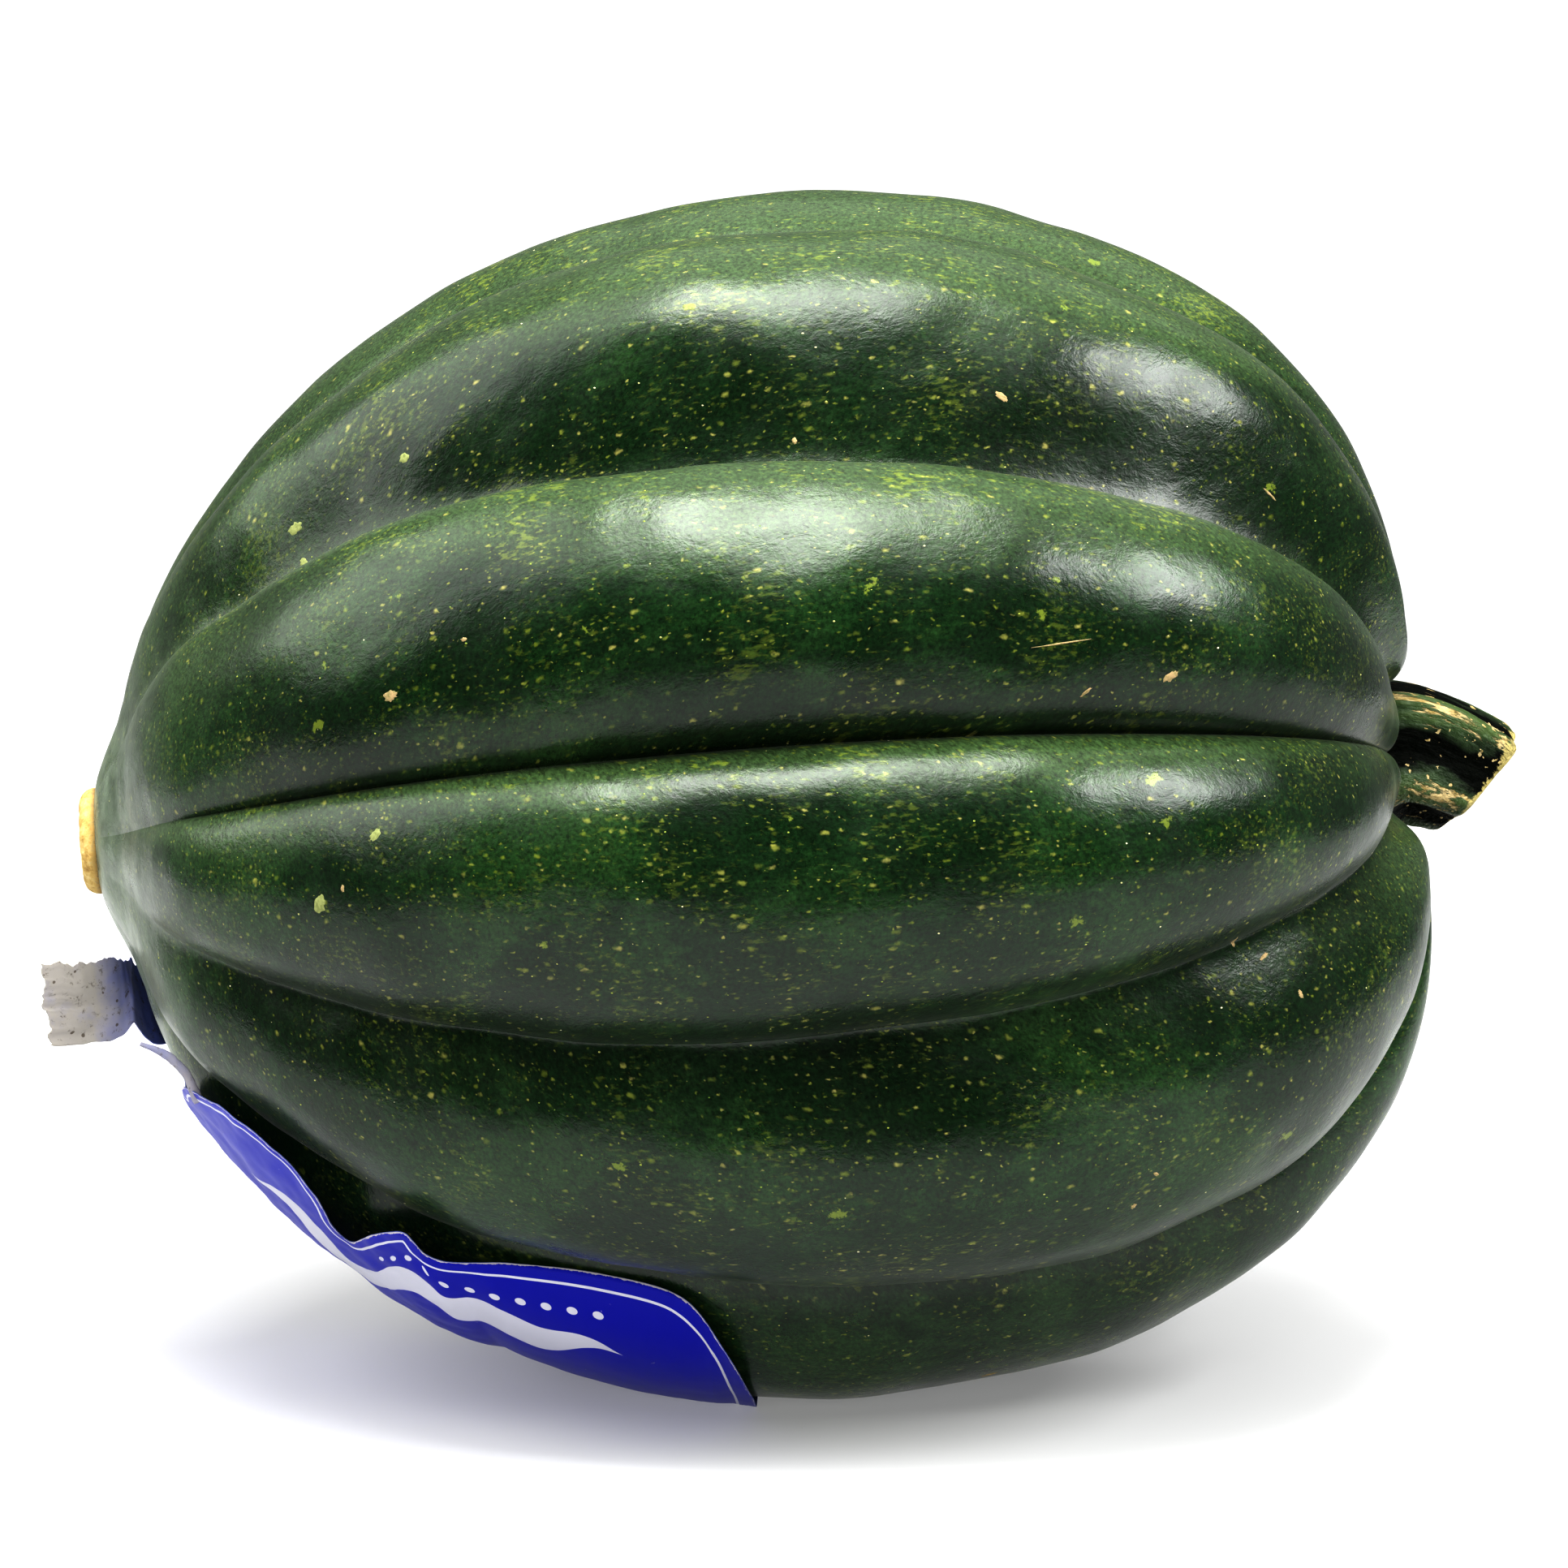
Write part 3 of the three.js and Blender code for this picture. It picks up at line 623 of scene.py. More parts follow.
def cutStemTree(material):
    tree, given = newTree("cutStem", [
        ("Around", "NodeSocketInt"), ("Rows", "NodeSocketInt"), ("Ridges", "NodeSocketFloat"),
        ("Ridge Angle", "NodeSocketFloat"), ("Ridge Height", "NodeSocketFloat"), ("Flare", "NodeSocketFloat"),
        ("Bark Size", "NodeSocketFloat"), ("Bark Height", "NodeSocketFloat"),
        ("Cut Point", "NodeSocketVector"), ("Cut Normal", "NodeSocketVector")])
    add = partial(addNode, tree)
    columns = add(mathNode, [given["Around"], 1.0], operation="ADD")
    grid, place = unitGrid(add, columns, given["Rows"])

    # the last rows close the cut face
    side = add(rangeNode, {"Value": place.outputs[1], "From Max": stem["sideShare"]})
    face = add(rangeNode, {"Value": place.outputs[1], "From Min": stem["sideShare"]})
    stretch = add(mathNode, [side, stem["pathShare"]], operation="MULTIPLY")
    angle = add(mathNode, [place, 2 * math.pi], operation="MULTIPLY")
    cosine = add(mathNode, [angle], operation="COSINE")
    sine = add(mathNode, [angle], operation="SINE")

    # path, its direction and its radius
    chain = add("GeometryNodeMeshToCurve", [given["Geometry"]])
    girth = add("GeometryNodeInputNamedAttribute", {"Name": "girth"}, data_type="FLOAT")
    sample = add("GeometryNodeSampleCurve", {
        "Curves": chain, "Value": girth, "Factor": stretch}, mode="FACTOR", use_all_curves=True,
        data_type="FLOAT")
    along = add(vectorNode, [sample.outputs["Tangent"]], operation="NORMALIZE")
    upward = add(vectorNode, [along, (0, 1, 0)], operation="CROSS_PRODUCT")
    upwardOut = add(vectorNode, {0: upward, "Scale": -1.0}, operation="SCALE")

    # ridges, each a little different, under a fibrous bark
    turned = add(mathNode, [angle, given["Ridge Angle"]], operation="SUBTRACT")
    wave = add(mathNode, [turned, given["Ridges"]], operation="MULTIPLY")
    ridgeWave = add(mathNode, [wave], operation="COSINE")
    ringPlace = add("ShaderNodeCombineXYZ", [stretch, cosine, sine])
    uneven = add(noiseNode, {"Vector": ringPlace, "Scale": 1.4, "Detail": 1.0})
    ridgeSize = add(rangeNode, {
        "Value": uneven, "From Min": 0.3, "From Max": 0.7, "To Min": 0.55, "To Max": 1.35})
    ridge = add(mathNode, [ridgeWave, ridgeSize], operation="MULTIPLY")
    ridged = add(mathNode, [ridge, given["Ridge Height"], 1.0], operation="MULTIPLY_ADD")
    radius = add(mathNode, [sample, ridged], operation="MULTIPLY")
    spread = add(mathNode, [0.0009, side], operation="POWER")
    widened = add(mathNode, [spread, given["Flare"], radius], operation="MULTIPLY_ADD")
    skinY = add(mathNode, [cosine, sample], operation="MULTIPLY")
    skinZ = add(mathNode, [sine, sample], operation="MULTIPLY")
    lengthways = add(vectorNode, [sample.outputs["Position"], (0.85, 0, -0.3)], operation="DOT_PRODUCT")
    bark = add("ShaderNodeCombineXYZ", [lengthways.outputs["Value"], skinY, skinZ])
    fibreMap = add(vectorNode, [bark, (0.3, 1, 1)], operation="MULTIPLY")
    frequency = add(mathNode, [1.0, given["Bark Size"]], operation="DIVIDE")
    fibre = add(noiseNode, {"Vector": fibreMap, "Scale": frequency, "Detail": 4.0, "Roughness": 0.6})
    fibreHeight = add(mathNode, [fibre, 0.5], operation="SUBTRACT")
    barked = add(mathNode, [fibreHeight, given["Bark Height"], widened], operation="MULTIPLY_ADD")
    inward = add(mathNode, [1.0, face], operation="SUBTRACT")
    closing = add(mathNode, [barked, inward], operation="MULTIPLY")

    # ring position, slid along the stem so that the last ring lies in the cut
    backward = add(mathNode, [closing, cosine], operation="MULTIPLY")
    sideways = add("ShaderNodeCombineXYZ", {1: add(mathNode, [backward, -1.0], operation="MULTIPLY")})
    risen = add(mathNode, [closing, sine], operation="MULTIPLY")
    upwards = add(vectorNode, {0: upwardOut, "Scale": risen}, operation="SCALE")
    offset = add(vectorNode, [sideways, upwards], operation="ADD")
    ring = add(vectorNode, [sample.outputs["Position"], offset], operation="ADD")
    toCut = add(vectorNode, [given["Cut Point"], ring], operation="SUBTRACT")
    gap = add(vectorNode, [toCut, given["Cut Normal"]], operation="DOT_PRODUCT")
    slope = add(vectorNode, [along, given["Cut Normal"]], operation="DOT_PRODUCT")
    slide = add(mathNode, [gap.outputs["Value"], slope.outputs["Value"]], operation="DIVIDE")
    lateness = add(mathNode, [side, 2.0], operation="POWER")
    pithWave = add(noiseNode, {"Vector": ring, "Scale": 1 / (1.6 * mm), "Detail": 4.0})
    rimLip = add(rangeNode, {
        "Value": face, "From Min": 0.05, "From Max": 0.5, "To Max": -0.9 * mm},
        interpolation_type="SMOOTHSTEP")
    pithRelief = add(mathNode, [
        add(mathNode, [pithWave, face], operation="MULTIPLY"), 0.6 * mm, rimLip],
        operation="MULTIPLY_ADD")
    slid = add(mathNode, [slide, lateness, pithRelief], operation="MULTIPLY_ADD")
    slip = add(vectorNode, {0: along, "Scale": slid}, operation="SCALE")
    point = add(vectorNode, [ring, slip], operation="ADD")

    kept = (
        ("bark", "FLOAT_VECTOR", bark), ("ridge", "FLOAT", ridge), ("face", "FLOAT", face),
        ("side", "FLOAT", side), ("fibre", "FLOAT", fibre))
    finishTree(add, grid, kept, point, material)
    return tree


def stemMaterial():
    # dry woody skin: green on the ridges, darkening to almost black between them, which is painted shade in
    # the valleys, with raised cream cork
    material, tree = newMaterial("woodyStem")
    add = partial(addNode, tree)
    bark = add(storedNode, attribute_name="bark").outputs["Vector"]
    ridge = add(storedNode, attribute_name="ridge").outputs["Fac"]
    face = add(storedNode, attribute_name="face").outputs["Fac"]
    side = add(storedNode, attribute_name="side").outputs["Fac"]
    fibre = add(storedNode, attribute_name="fibre").outputs["Fac"]
    # painted shade: the colour darkens from the ridge tops down to almost black in the valleys
    lifted = add(mathNode, [ridge, 0.3, fibre], operation="MULTIPLY_ADD")
    green = addRamp(tree, lifted, [
        (0.47, stem["paintedValleyShade"]), (0.56, stem["skinLow"]), (0.72, stem["skinMid"]),
        (0.9, stem["skinTop"])])

    # cork in long streaks on the ridges and in round dots all over
    streakMap = add("ShaderNodeMapping", {"Vector": bark, "Scale": (0.26, 1, 1)})
    streak = add(noiseNode, {
        "Vector": streakMap, "Scale": 1 / (0.8 * mm), "Detail": 5.0, "Roughness": 0.65})
    streakHigh = add(mathNode, [ridge, 0.09, streak], operation="MULTIPLY_ADD")
    nearFruit = add(rangeNode, {"Value": side, "From Max": 0.3, "To Min": 0.05, "To Max": 0.0})
    corkHigh = add(mathNode, [streakHigh, nearFruit], operation="ADD")
    corkStreak = add(rangeNode, {
        "Value": corkHigh, "From Min": 0.62, "From Max": 0.68}, interpolation_type="SMOOTHSTEP")
    barkWobble = add(noiseNode, {"Vector": bark, "Scale": 1 / (0.5 * mm), "Detail": 2.0})
    barkBent = add(blendNode, [0.0004, bark, barkWobble.outputs[1]], blend_type="LINEAR_LIGHT")
    dots = add("ShaderNodeTexVoronoi", {"Vector": barkBent, "Scale": 1 / (0.75 * mm)})
    dotPick = add("ShaderNodeSeparateColor", [dots.outputs["Color"]])
    dotSize = add(mathNode, [dotPick, 0.3], operation="MULTIPLY")
    corkDot = add(mathNode, [dots.outputs["Distance"], dotSize], operation="LESS_THAN")
    cork = add(mathNode, [corkStreak, corkDot], operation="MAXIMUM")
    corkTone = add(noiseNode, {"Vector": bark, "Scale": 1 / (0.5 * mm), "Detail": 3.0})
    corkColour = addRamp(tree, corkTone, [(0.35, stem["corkDark"]), (0.6, stem["cork"])])
    skin = add(blendNode, [cork, green, corkColour])

    # pale dried rim where it was cut and where it leaves the fruit
    lastBit = add(rangeNode, {
        "Value": add(mathNode, [streakHigh, 0.4, side], operation="MULTIPLY_ADD"), "From Min": 1.07,
        "From Max": 1.12}, interpolation_type="SMOOTHSTEP")
    ended = add(blendNode, [lastBit, skin, toLinear(stem["cutRim"])])
    rimToPith = addRamp(tree, add(mathNode, [corkTone, 0.35, face], operation="MULTIPLY_ADD"), [
        (0.2, stem["cutRim"]), (0.45, stem["pithRim"]), (0.62, stem["pith"]), (1.0, stem["pithDeep"])])
    onFace = add(mathNode, [face, 0.001], operation="GREATER_THAN")
    colour = add(blendNode, [onFace, ended, rimToPith])
    grained = add(mathNode, [corkTone, 0.9, streak], operation="MULTIPLY_ADD")
    raised = add(mathNode, [cork, 0.5, grained], operation="MULTIPLY_ADD")
    bump = add("ShaderNodeBump", {"Strength": 0.9, "Distance": 0.4 * mm, "Height": raised})
    roughness = add(rangeNode, {"Value": cork, "To Min": 0.45, "To Max": 0.85})
    shine = add(rangeNode, {
        "Value": lifted, "From Min": 0.45, "From Max": 0.7, "To Min": 0.04, "To Max": 0.4})
    surface = add("ShaderNodeBsdfPrincipled", {
        "Base Color": colour, "Roughness": roughness, "Normal": bump, "Specular IOR Level": shine})
    add("ShaderNodeOutputMaterial", [surface])
    return material


def moveToFruit(piece):
    # from the fruit's own axis frame, in metres, to where it lies
    tilt = fruit["tilt"] * degree
    points = meshPoints(piece.data)
    moved = np.stack([
        points[:, 0] * math.cos(tilt) - points[:, 2] * math.sin(tilt), points[:, 1],
        points[:, 0] * math.sin(tilt) + points[:, 2] * math.cos(tilt)], axis=1)
    setMeshPoints(piece.data, moved + np.array(fruitOrigin))


def chainMesh(name, points):
    mesh = bpy.data.meshes.new(name)
    mesh.from_pydata([tuple(p) for p in points], [(i, i + 1) for i in range(len(points) - 1)], [])
    return mesh


def buildStem():
    controls = [(x, up, radius) for (x, up), radius in zip(stem["path"], stem["radius"])]
    cut = np.array(stem["cutPoint"])
    normal = np.array([math.cos(stem["cutAngle"] * degree), math.sin(stem["cutAngle"] * degree)])
    samples = [catmullRom(controls, t) for t in np.linspace(0, 1, 161)]
    inside = [s for s in samples if (s[:2] - cut) @ normal < 0]
    # the tree uses only a share of this path, so it is lengthened by the rest
    end = samples[min(int(len(inside) / stem["pathShare"]), len(samples) - 1)]
    path = inside + [s for s in samples[len(inside):] if s[0] < end[0]]
    base = chainMesh("stemPath", [(s[0] * mm, 0, s[1] * mm) for s in path])
    addAttribute(base, "girth", "FLOAT", [s[2] * mm for s in path])
    piece = runTree("cutStem", cutStemTree(stemMaterial()), base, {
        "Around": stem["around"], "Rows": stem["rows"], "Ridges": float(stem["ridges"]),
        "Ridge Angle": stem["ridgeAngle"] * degree, "Ridge Height": stem["ridgeHeight"],
        "Flare": stem["flare"] * mm,
        "Bark Size": stem["barkSize"] * mm, "Bark Height": stem["barkHeight"] * mm,
        "Cut Point": (cut[0] * mm, 0, cut[1] * mm), "Cut Normal": (normal[0], 0, normal[1])})
    moveToFruit(piece)
    return piece


stemPiece = buildStem()
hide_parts("stem")
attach(stemPiece, "root")
print("stem:", len(stemPiece.data.polygons), "faces")


# Blossom scar: a dry button of cork where the flower dropped off

scar = {
    "tip": -70.6,  # mm along the axis
    "profile": [  # (radius, height) in mm, from the middle of its face to the rind
        (0, 2.5), (2.2, 2.7), (3.6, 3.0), (4.6, 2.95), (5.2, 2.5),
        (5.55, 1.8), (5.6, 1.0), (5.3, 0.3), (5.0, 0.0),
    ],
    "around": 128,
    "rows": 64,
    "wrinkleSize": 1.5,
    "wrinkleHeight": 0.55,
    "cork": "#c2a869",
    "corkPale": "#d3c290",
    "corkDark": "#9a7a42",
    "crease": "#4a2c12",
}


def corkButtonTree(material):
    tree, given = newTree("corkButton", [
        ("Around", "NodeSocketInt"), ("Rows", "NodeSocketInt"),
        ("Wrinkle Size", "NodeSocketFloat"), ("Wrinkle Height", "NodeSocketFloat")])
    add = partial(addNode, tree)
    columns = add(mathNode, [given["Around"], 1.0], operation="ADD")
    grid, place = unitGrid(add, columns, given["Rows"])
    angle = add(mathNode, [place, 2 * math.pi], operation="MULTIPLY")
    chain = add("GeometryNodeMeshToCurve", [given["Geometry"]])
    sample = add("GeometryNodeSampleCurve", {
        "Curves": chain, "Factor": place.outputs[1]}, mode="FACTOR", use_all_curves=True)
    turned = add("ShaderNodeVectorRotate", {
        "Vector": sample.outputs["Position"], "Angle": angle}, rotation_type="X_AXIS")
    frequency = add(mathNode, [1.0, given["Wrinkle Size"]], operation="DIVIDE")
    wrinkle = add(noiseNode, {
        "Vector": turned, "Scale": frequency, "Detail": 4.0, "Roughness": 0.6, "Distortion": 0.6})
    height = add(mathNode, [wrinkle, 0.5], operation="SUBTRACT")
    lift = add(mathNode, [height, given["Wrinkle Height"]], operation="MULTIPLY")
    fromAxis = add(vectorNode, [turned], operation="NORMALIZE")
    push = add(vectorNode, {0: fromAxis, "Scale": lift}, operation="SCALE")
    point = add(vectorNode, [turned, push], operation="ADD")
    kept = (("cork", "FLOAT_VECTOR", turned), ("outward", "FLOAT", place.outputs[1]))
    finishTree(add, grid, kept, point, material, turned=False)
    return tree


def corkMaterial():
    # dry cork: matt, granular, darker in its creases and where it meets the rind
    material, tree = newMaterial("dryCork")
    add = partial(addNode, tree)
    cork = add(storedNode, attribute_name="cork").outputs["Vector"]
    outward = add(storedNode, attribute_name="outward").outputs["Fac"]
    grain = add(noiseNode, {"Vector": cork, "Scale": 1 / (0.9 * mm), "Detail": 5.0, "Roughness": 0.7})
    tone = addRamp(tree, grain, [(0.3, scar["corkDark"]), (0.5, scar["cork"]), (0.68, scar["corkPale"])])
    rim = add(mathNode, [grain, 0.3, outward], operation="MULTIPLY_ADD")
    dark = add(rangeNode, {
        "Value": rim, "From Min": 0.88, "From Max": 1.05}, interpolation_type="SMOOTHSTEP")
    colour = add(blendNode, [dark, tone, toLinear(scar["crease"])])
    bump = add("ShaderNodeBump", {"Strength": 0.7, "Distance": 0.2 * mm, "Height": grain})
    surface = add("ShaderNodeBsdfPrincipled", {"Base Color": colour, "Roughness": 0.8, "Normal": bump})
    add("ShaderNodeOutputMaterial", [surface])
    return material


def buildScar():
    points = [catmullRom([(*p, 0) for p in scar["profile"]], t) for t in np.linspace(0, 1, 90)]
    base = chainMesh("scarProfile", [((scar["tip"] - h) * mm, 0, r * mm) for r, h, _ in points])
    # the button is made about its own middle, so that its wrinkles push straight out
    shift = scar["tip"] * mm
    for vertex in base.vertices:
        vertex.co.x -= shift
    piece = runTree("blossomScar", corkButtonTree(corkMaterial()), base, {
        "Around": scar["around"], "Rows": scar["rows"],
        "Wrinkle Size": scar["wrinkleSize"] * mm, "Wrinkle Height": scar["wrinkleHeight"] * mm})
    points = meshPoints(piece.data)
    points[:, 0] += shift
    setMeshPoints(piece.data, points)
    moveToFruit(piece)
    return piece


scarPiece = buildScar()
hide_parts("blossom_scar")
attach(scarPiece, "root")
print("scar:", len(scarPiece.data.polygons), "faces")


# Label: thin coated paper, printed blue, that has come unstuck and torn along its left part

label = {
    "nearEdge": [  # (along, angle, lift off the rib tops) in mm and degrees, from the flap to the round end
        (-78.4, -80.4, 9), (-74.4, -83, 8.9), (-71, -86, 8.6), (-68.2, -92, 4.7), (-65.8, -102, 0.8),
        (-64.8, -90, 0.9), (-64, -70, 1.6), (-62.6, -49.5, 2), (-57, -41, 1.9), (-50.5, -44.5, 1.9),
        (-47.2, -54.5, 1.3), (-44, -47.0, 1.8), (-40.3, -42.2, 2), (-38, -46.5, 1.2), (-30, -49, -3.2),
        (-20.7, -50, -5.4), (-12.5, -50.5, -4.4), (-8.6, -54, -0.6), (-6.3, -66, 0.4), (-6, -80, 0.4),
    ],
    "farEdge": [
        (-78.8, -80.6, 0.4), (-74.7, -85.3, 0.5), (-71.4, -92, 0.8), (-69.5, -106, 1.5), (-68, -119, 0.7),
        (-66, -123, 0.6), (-64, -122, 0.6), (-61, -119, 0.6), (-57, -116, 0.6), (-51, -113, 0.6),
        (-46, -110, 0.6), (-41, -106, 0.6), (-36, -102, 0.6), (-31, -100, 0.5), (-26, -97, 0.4),
        (-20, -95, 0.4), (-14, -93, 0.4), (-9.5, -90, 0.4), (-7.2, -87, 0.4), (-6.1, -83, 0.4),
    ],
    "fruitEnd": -69.7,  # mm along, past which the flap keeps its distance from the axis
    "length": 120,  # mm, roughly
    "lineFrom": 0.34,  # share of the length where the printed line starts
    "stripAt": 0.372,  # and where the loose strip hangs on
    "columns": 420,
    "rows": 84,
    "thickness": 0.12,
    "buckleSize": 7,
    "buckleHeight": 0.35,
    "tear": 0.35,  # mm that the torn edges wander
    "blue": "#070f98",
    # paler worn ink, which also serves as painted sheen on the left part and painted light on the flap's
    # shaded root
    "blueWornAndSheen": "#565ab4",
    "print": "#c6c6cf",
    "paper": "#cdc7bb",
    "inkThrough": "#7d8bd6",
    "dirt": "#5a4a35",
}


def envelopeRadius(along):
    # radius of the surface that the rib tops touch
    table = []
    for row in fruit["crest"][:2]:
        p = np.array(row, float)
        for t in np.linspace(0, 1, 200):
            table.append(
                (1 - t) ** 3 * p[0] + 3 * (1 - t) ** 2 * t * p[1]
                + 3 * (1 - t) * t * t * p[2] + t ** 3 * p[3])
    table = np.array(table)
    return np.interp(np.maximum(along, label["fruitEnd"]), table[:, 0], table[:, 1])


def labelSheet():
    # grid of (along, angle, lift) over the sheet, with wandering torn edges, and its points in metres
    columns, rows = label["columns"], label["rows"]
    spread = np.linspace(0, 1, columns)
    near = np.array([catmullRom(label["nearEdge"], t) for t in spread])
    far = np.array([catmullRom(label["farEdge"], t) for t in spread])
    for i, t in enumerate(spread):
        onFlap = max(0.0, min(1.0, (0.19 - t) / 0.03))
        torn = max(0.0, min(1.0, (0.40 - t) / 0.05)) * (1 - onFlap)
        place = t * label["length"]
        small = roughen((place, 3, 0), 4) + 0.5 * roughen((place, 9, 0), 1.2)
        near[i, 1] += small * label["tear"] * torn * 1.2
        large = roughen((place, 31, 0), 3) + 0.6 * roughen((place, 47, 0), 0.9)
        far[i, 1] += large * label["tear"] * 2.2 * (1 - onFlap)
        far[i, 2] += (roughen((place, 61, 0), 2.6) + 0.3 * roughen((place, 67, 0), 0.7)) * onFlap * 0.7
        near[i, 2] += roughen((place, 71, 0), 6) * onFlap * 0.4
    shape = np.empty((columns, rows, 3))
    # where the near edge tucks into a groove, the sheet climbs back out of it at once
    climb = 1 + 6 * np.clip(-near[:, 2:] / 2, 0, 1)
    for j, v in enumerate(np.linspace(0, 1, rows)):
        shape[:, j] = near * (1 - v) + far * v
        share = (1 - v) ** climb[:, 0]
        shape[:, j, 2] = near[:, 2] * share + far[:, 2] * (1 - share)
        # the flap's torn end is uneven
        endRag = roughen((v * 9, 83, 0), 2.4) + 0.6 * roughen((v * 9, 89, 0), 0.8)
        shape[:, j, 0] += endRag * 0.5 * np.clip(1 - spread / 0.08, 0, 1)
    points = np.empty_like(shape)
    tilt = fruit["tilt"] * degree
    radius = envelopeRadius(shape[..., 0]) + shape[..., 2]
    angle = np.radians(shape[..., 1])
    up = radius * np.sin(angle)
    points[..., 0] = shape[..., 0] * math.cos(tilt) - up * math.sin(tilt)
    points[..., 1] = -radius * np.cos(angle)
    points[..., 2] = shape[..., 0] * math.sin(tilt) + up * math.cos(tilt)
    return shape, points * mm + np.array(fruitOrigin)


def sheetNormals(points):
    lengthways = np.gradient(points, axis=0)
    crossways = np.gradient(points, axis=1)
    normals = np.cross(crossways, lengthways)
    return normals / np.maximum(np.linalg.norm(normals, axis=2, keepdims=True), 1e-12)


def labelMaterials():
    printed, tree = newMaterial("printedPaper")
    add = partial(addNode, tree)
    place = add(storedNode, attribute_name="labelPlace").outputs["Vector"]
    edge = add(storedNode, attribute_name="labelEdge").outputs["Vector"]
    parts = add("ShaderNodeSeparateXYZ", [place])
    lengthways, crossways, share = (parts, parts.outputs[1], parts.outputs[2])
    flat = add(vectorNode, [place, (1, 1, 0)], operation="MULTIPLY")
    edgeParts = add("ShaderNodeSeparateXYZ", [edge])
    inset, wearAndPaintedLight = (edgeParts, edgeParts.outputs[1])

    # a thin white line inside the edge, a broad wavy stripe and a row of dots
    lineInset = add(rangeNode, {
        "Value": share, "From Min": 0.5, "From Max": 0.85, "To Min": 1.0 * mm, "To Max": 2.0 * mm})
    line = add(mathNode, [inset, lineInset, 0.16 * mm], operation="COMPARE")
    wave = add(mathNode, [
        add(mathNode, [lengthways, 2 * math.pi / (11 * mm)], operation="MULTIPLY")], operation="SINE")
    waveMiddle = add(mathNode, [wave, 0.9 * mm, 11 * mm], operation="MULTIPLY_ADD")
    fromMiddle = add(mathNode, [share, 0.61], operation="SUBTRACT")
    bandReach = add(mathNode, [fromMiddle], operation="ABSOLUTE")
    bandWidth = add(rangeNode, {
        "Value": bandReach, "From Min": 0.12, "From Max": 0.2, "To Min": 3.2 * mm, "To Max": -0.2 * mm},
        interpolation_type="SMOOTHSTEP")
    stripe = add(mathNode, [crossways, waveMiddle, bandWidth], operation="COMPARE")
    dotStep = add(mathNode, [lengthways, 2.6 * mm], operation="MODULO")
    dotX = add(mathNode, [dotStep, 1.3 * mm], operation="SUBTRACT")
    dotY = add(mathNode, [crossways, 5.2 * mm], operation="SUBTRACT")
    dotPlace = add("ShaderNodeCombineXYZ", [dotX, dotY])
    dotReach = add(vectorNode, [dotPlace], operation="LENGTH")
    dotNear = add(mathNode, [dotReach.outputs["Value"], 0.55 * mm], operation="LESS_THAN")
    dotEnds = add(mathNode, [share, 0.68, 0.11], operation="COMPARE")
    dot = add(mathNode, [dotNear, dotEnds], operation="MULTIPLY")
    marks = add(mathNode, [line, stripe], operation="MAXIMUM")
    allMarks = add(mathNode, [marks, dot], operation="MAXIMUM")
    # paler ink where the print is worn, and where it stands in for painted sheen on the left part and painted
    # light on the flap's root, which lies in shade
    soft = add(noiseNode, {"Vector": flat, "Scale": 1 / (5 * mm), "Detail": 4.0, "Roughness": 0.6})
    wornAndPaintedLight = add(mathNode, [soft, wearAndPaintedLight], operation="MULTIPLY")
    ink = add(blendNode, [wornAndPaintedLight, toLinear(label["blue"]), toLinear(label["blueWornAndSheen"])])
    inked = add(blendNode, [allMarks, ink, toLinear(label["print"])])
    rubbed = add(noiseNode, {"Vector": flat, "Scale": 1 / (1.2 * mm), "Detail": 5.0, "Roughness": 0.75})
    edgeRub = add(rangeNode, {
        "Value": inset, "From Min": 0.0, "From Max": 0.35 * mm, "To Min": 0.66, "To Max": 0.3})
    rubLimit = add(mathNode, [rubbed, edgeRub], operation="LESS_THAN")
    bare = add(blendNode, [
        add(mathNode, [rubLimit, 0.75], operation="MULTIPLY"), inked, toLinear(label["paper"])])
    bump = add("ShaderNodeBump", {"Strength": 0.3, "Distance": 0.05 * mm, "Height": soft})
    surface = add("ShaderNodeBsdfPrincipled", {
        "Base Color": bare, "Roughness": 0.38, "Normal": bump, "Specular IOR Level": 0.18})
    add("ShaderNodeOutputMaterial", [surface])

    # the paper's back: off-white, with soil specks and a blue cast where the ink shows through
    back, tree = newMaterial("paperBack")
    add = partial(addNode, tree)
    place = add(storedNode, attribute_name="labelPlace").outputs["Vector"]
    flat = add(vectorNode, [place, (1, 1, 0)], operation="MULTIPLY")
    edge = add(storedNode, attribute_name="labelEdge").outputs["Vector"]
    tint = add("ShaderNodeSeparateXYZ", [edge]).outputs[2]
    cloud = add(noiseNode, {"Vector": flat, "Scale": 1 / (4 * mm), "Detail": 4.0, "Roughness": 0.6})
    cast = add(mathNode, [
        add(mathNode, [cloud, 0.5], operation="SUBTRACT"), 1.1, tint], operation="MULTIPLY_ADD",
        use_clamp=True)
    paper = add(blendNode, [cast, toLinear(label["paper"]), toLinear(label["inkThrough"])])
    soil = add(noiseNode, {"Vector": flat, "Scale": 1 / (1.1 * mm), "Detail": 6.0, "Roughness": 0.8})
    soiled = add(rangeNode, {
        "Value": soil, "From Min": 0.54, "From Max": 0.68, "To Max": 0.8},
        interpolation_type="SMOOTHSTEP")
    crumbs = add("ShaderNodeTexVoronoi", {"Vector": flat, "Scale": 1 / (1.3 * mm)})
    crumbPick = add("ShaderNodeSeparateColor", [crumbs.outputs["Color"]])
    crumbSize = add(mathNode, [crumbPick, 0.17], operation="MULTIPLY")
    crumb = add(mathNode, [crumbs.outputs["Distance"], crumbSize], operation="LESS_THAN")
    soilAmount = add(mathNode, [
        soiled, add(mathNode, [crumb, 0.75], operation="MULTIPLY")], operation="MAXIMUM")
    dirty = add(blendNode, [soilAmount, paper, toLinear(label["dirt"])])
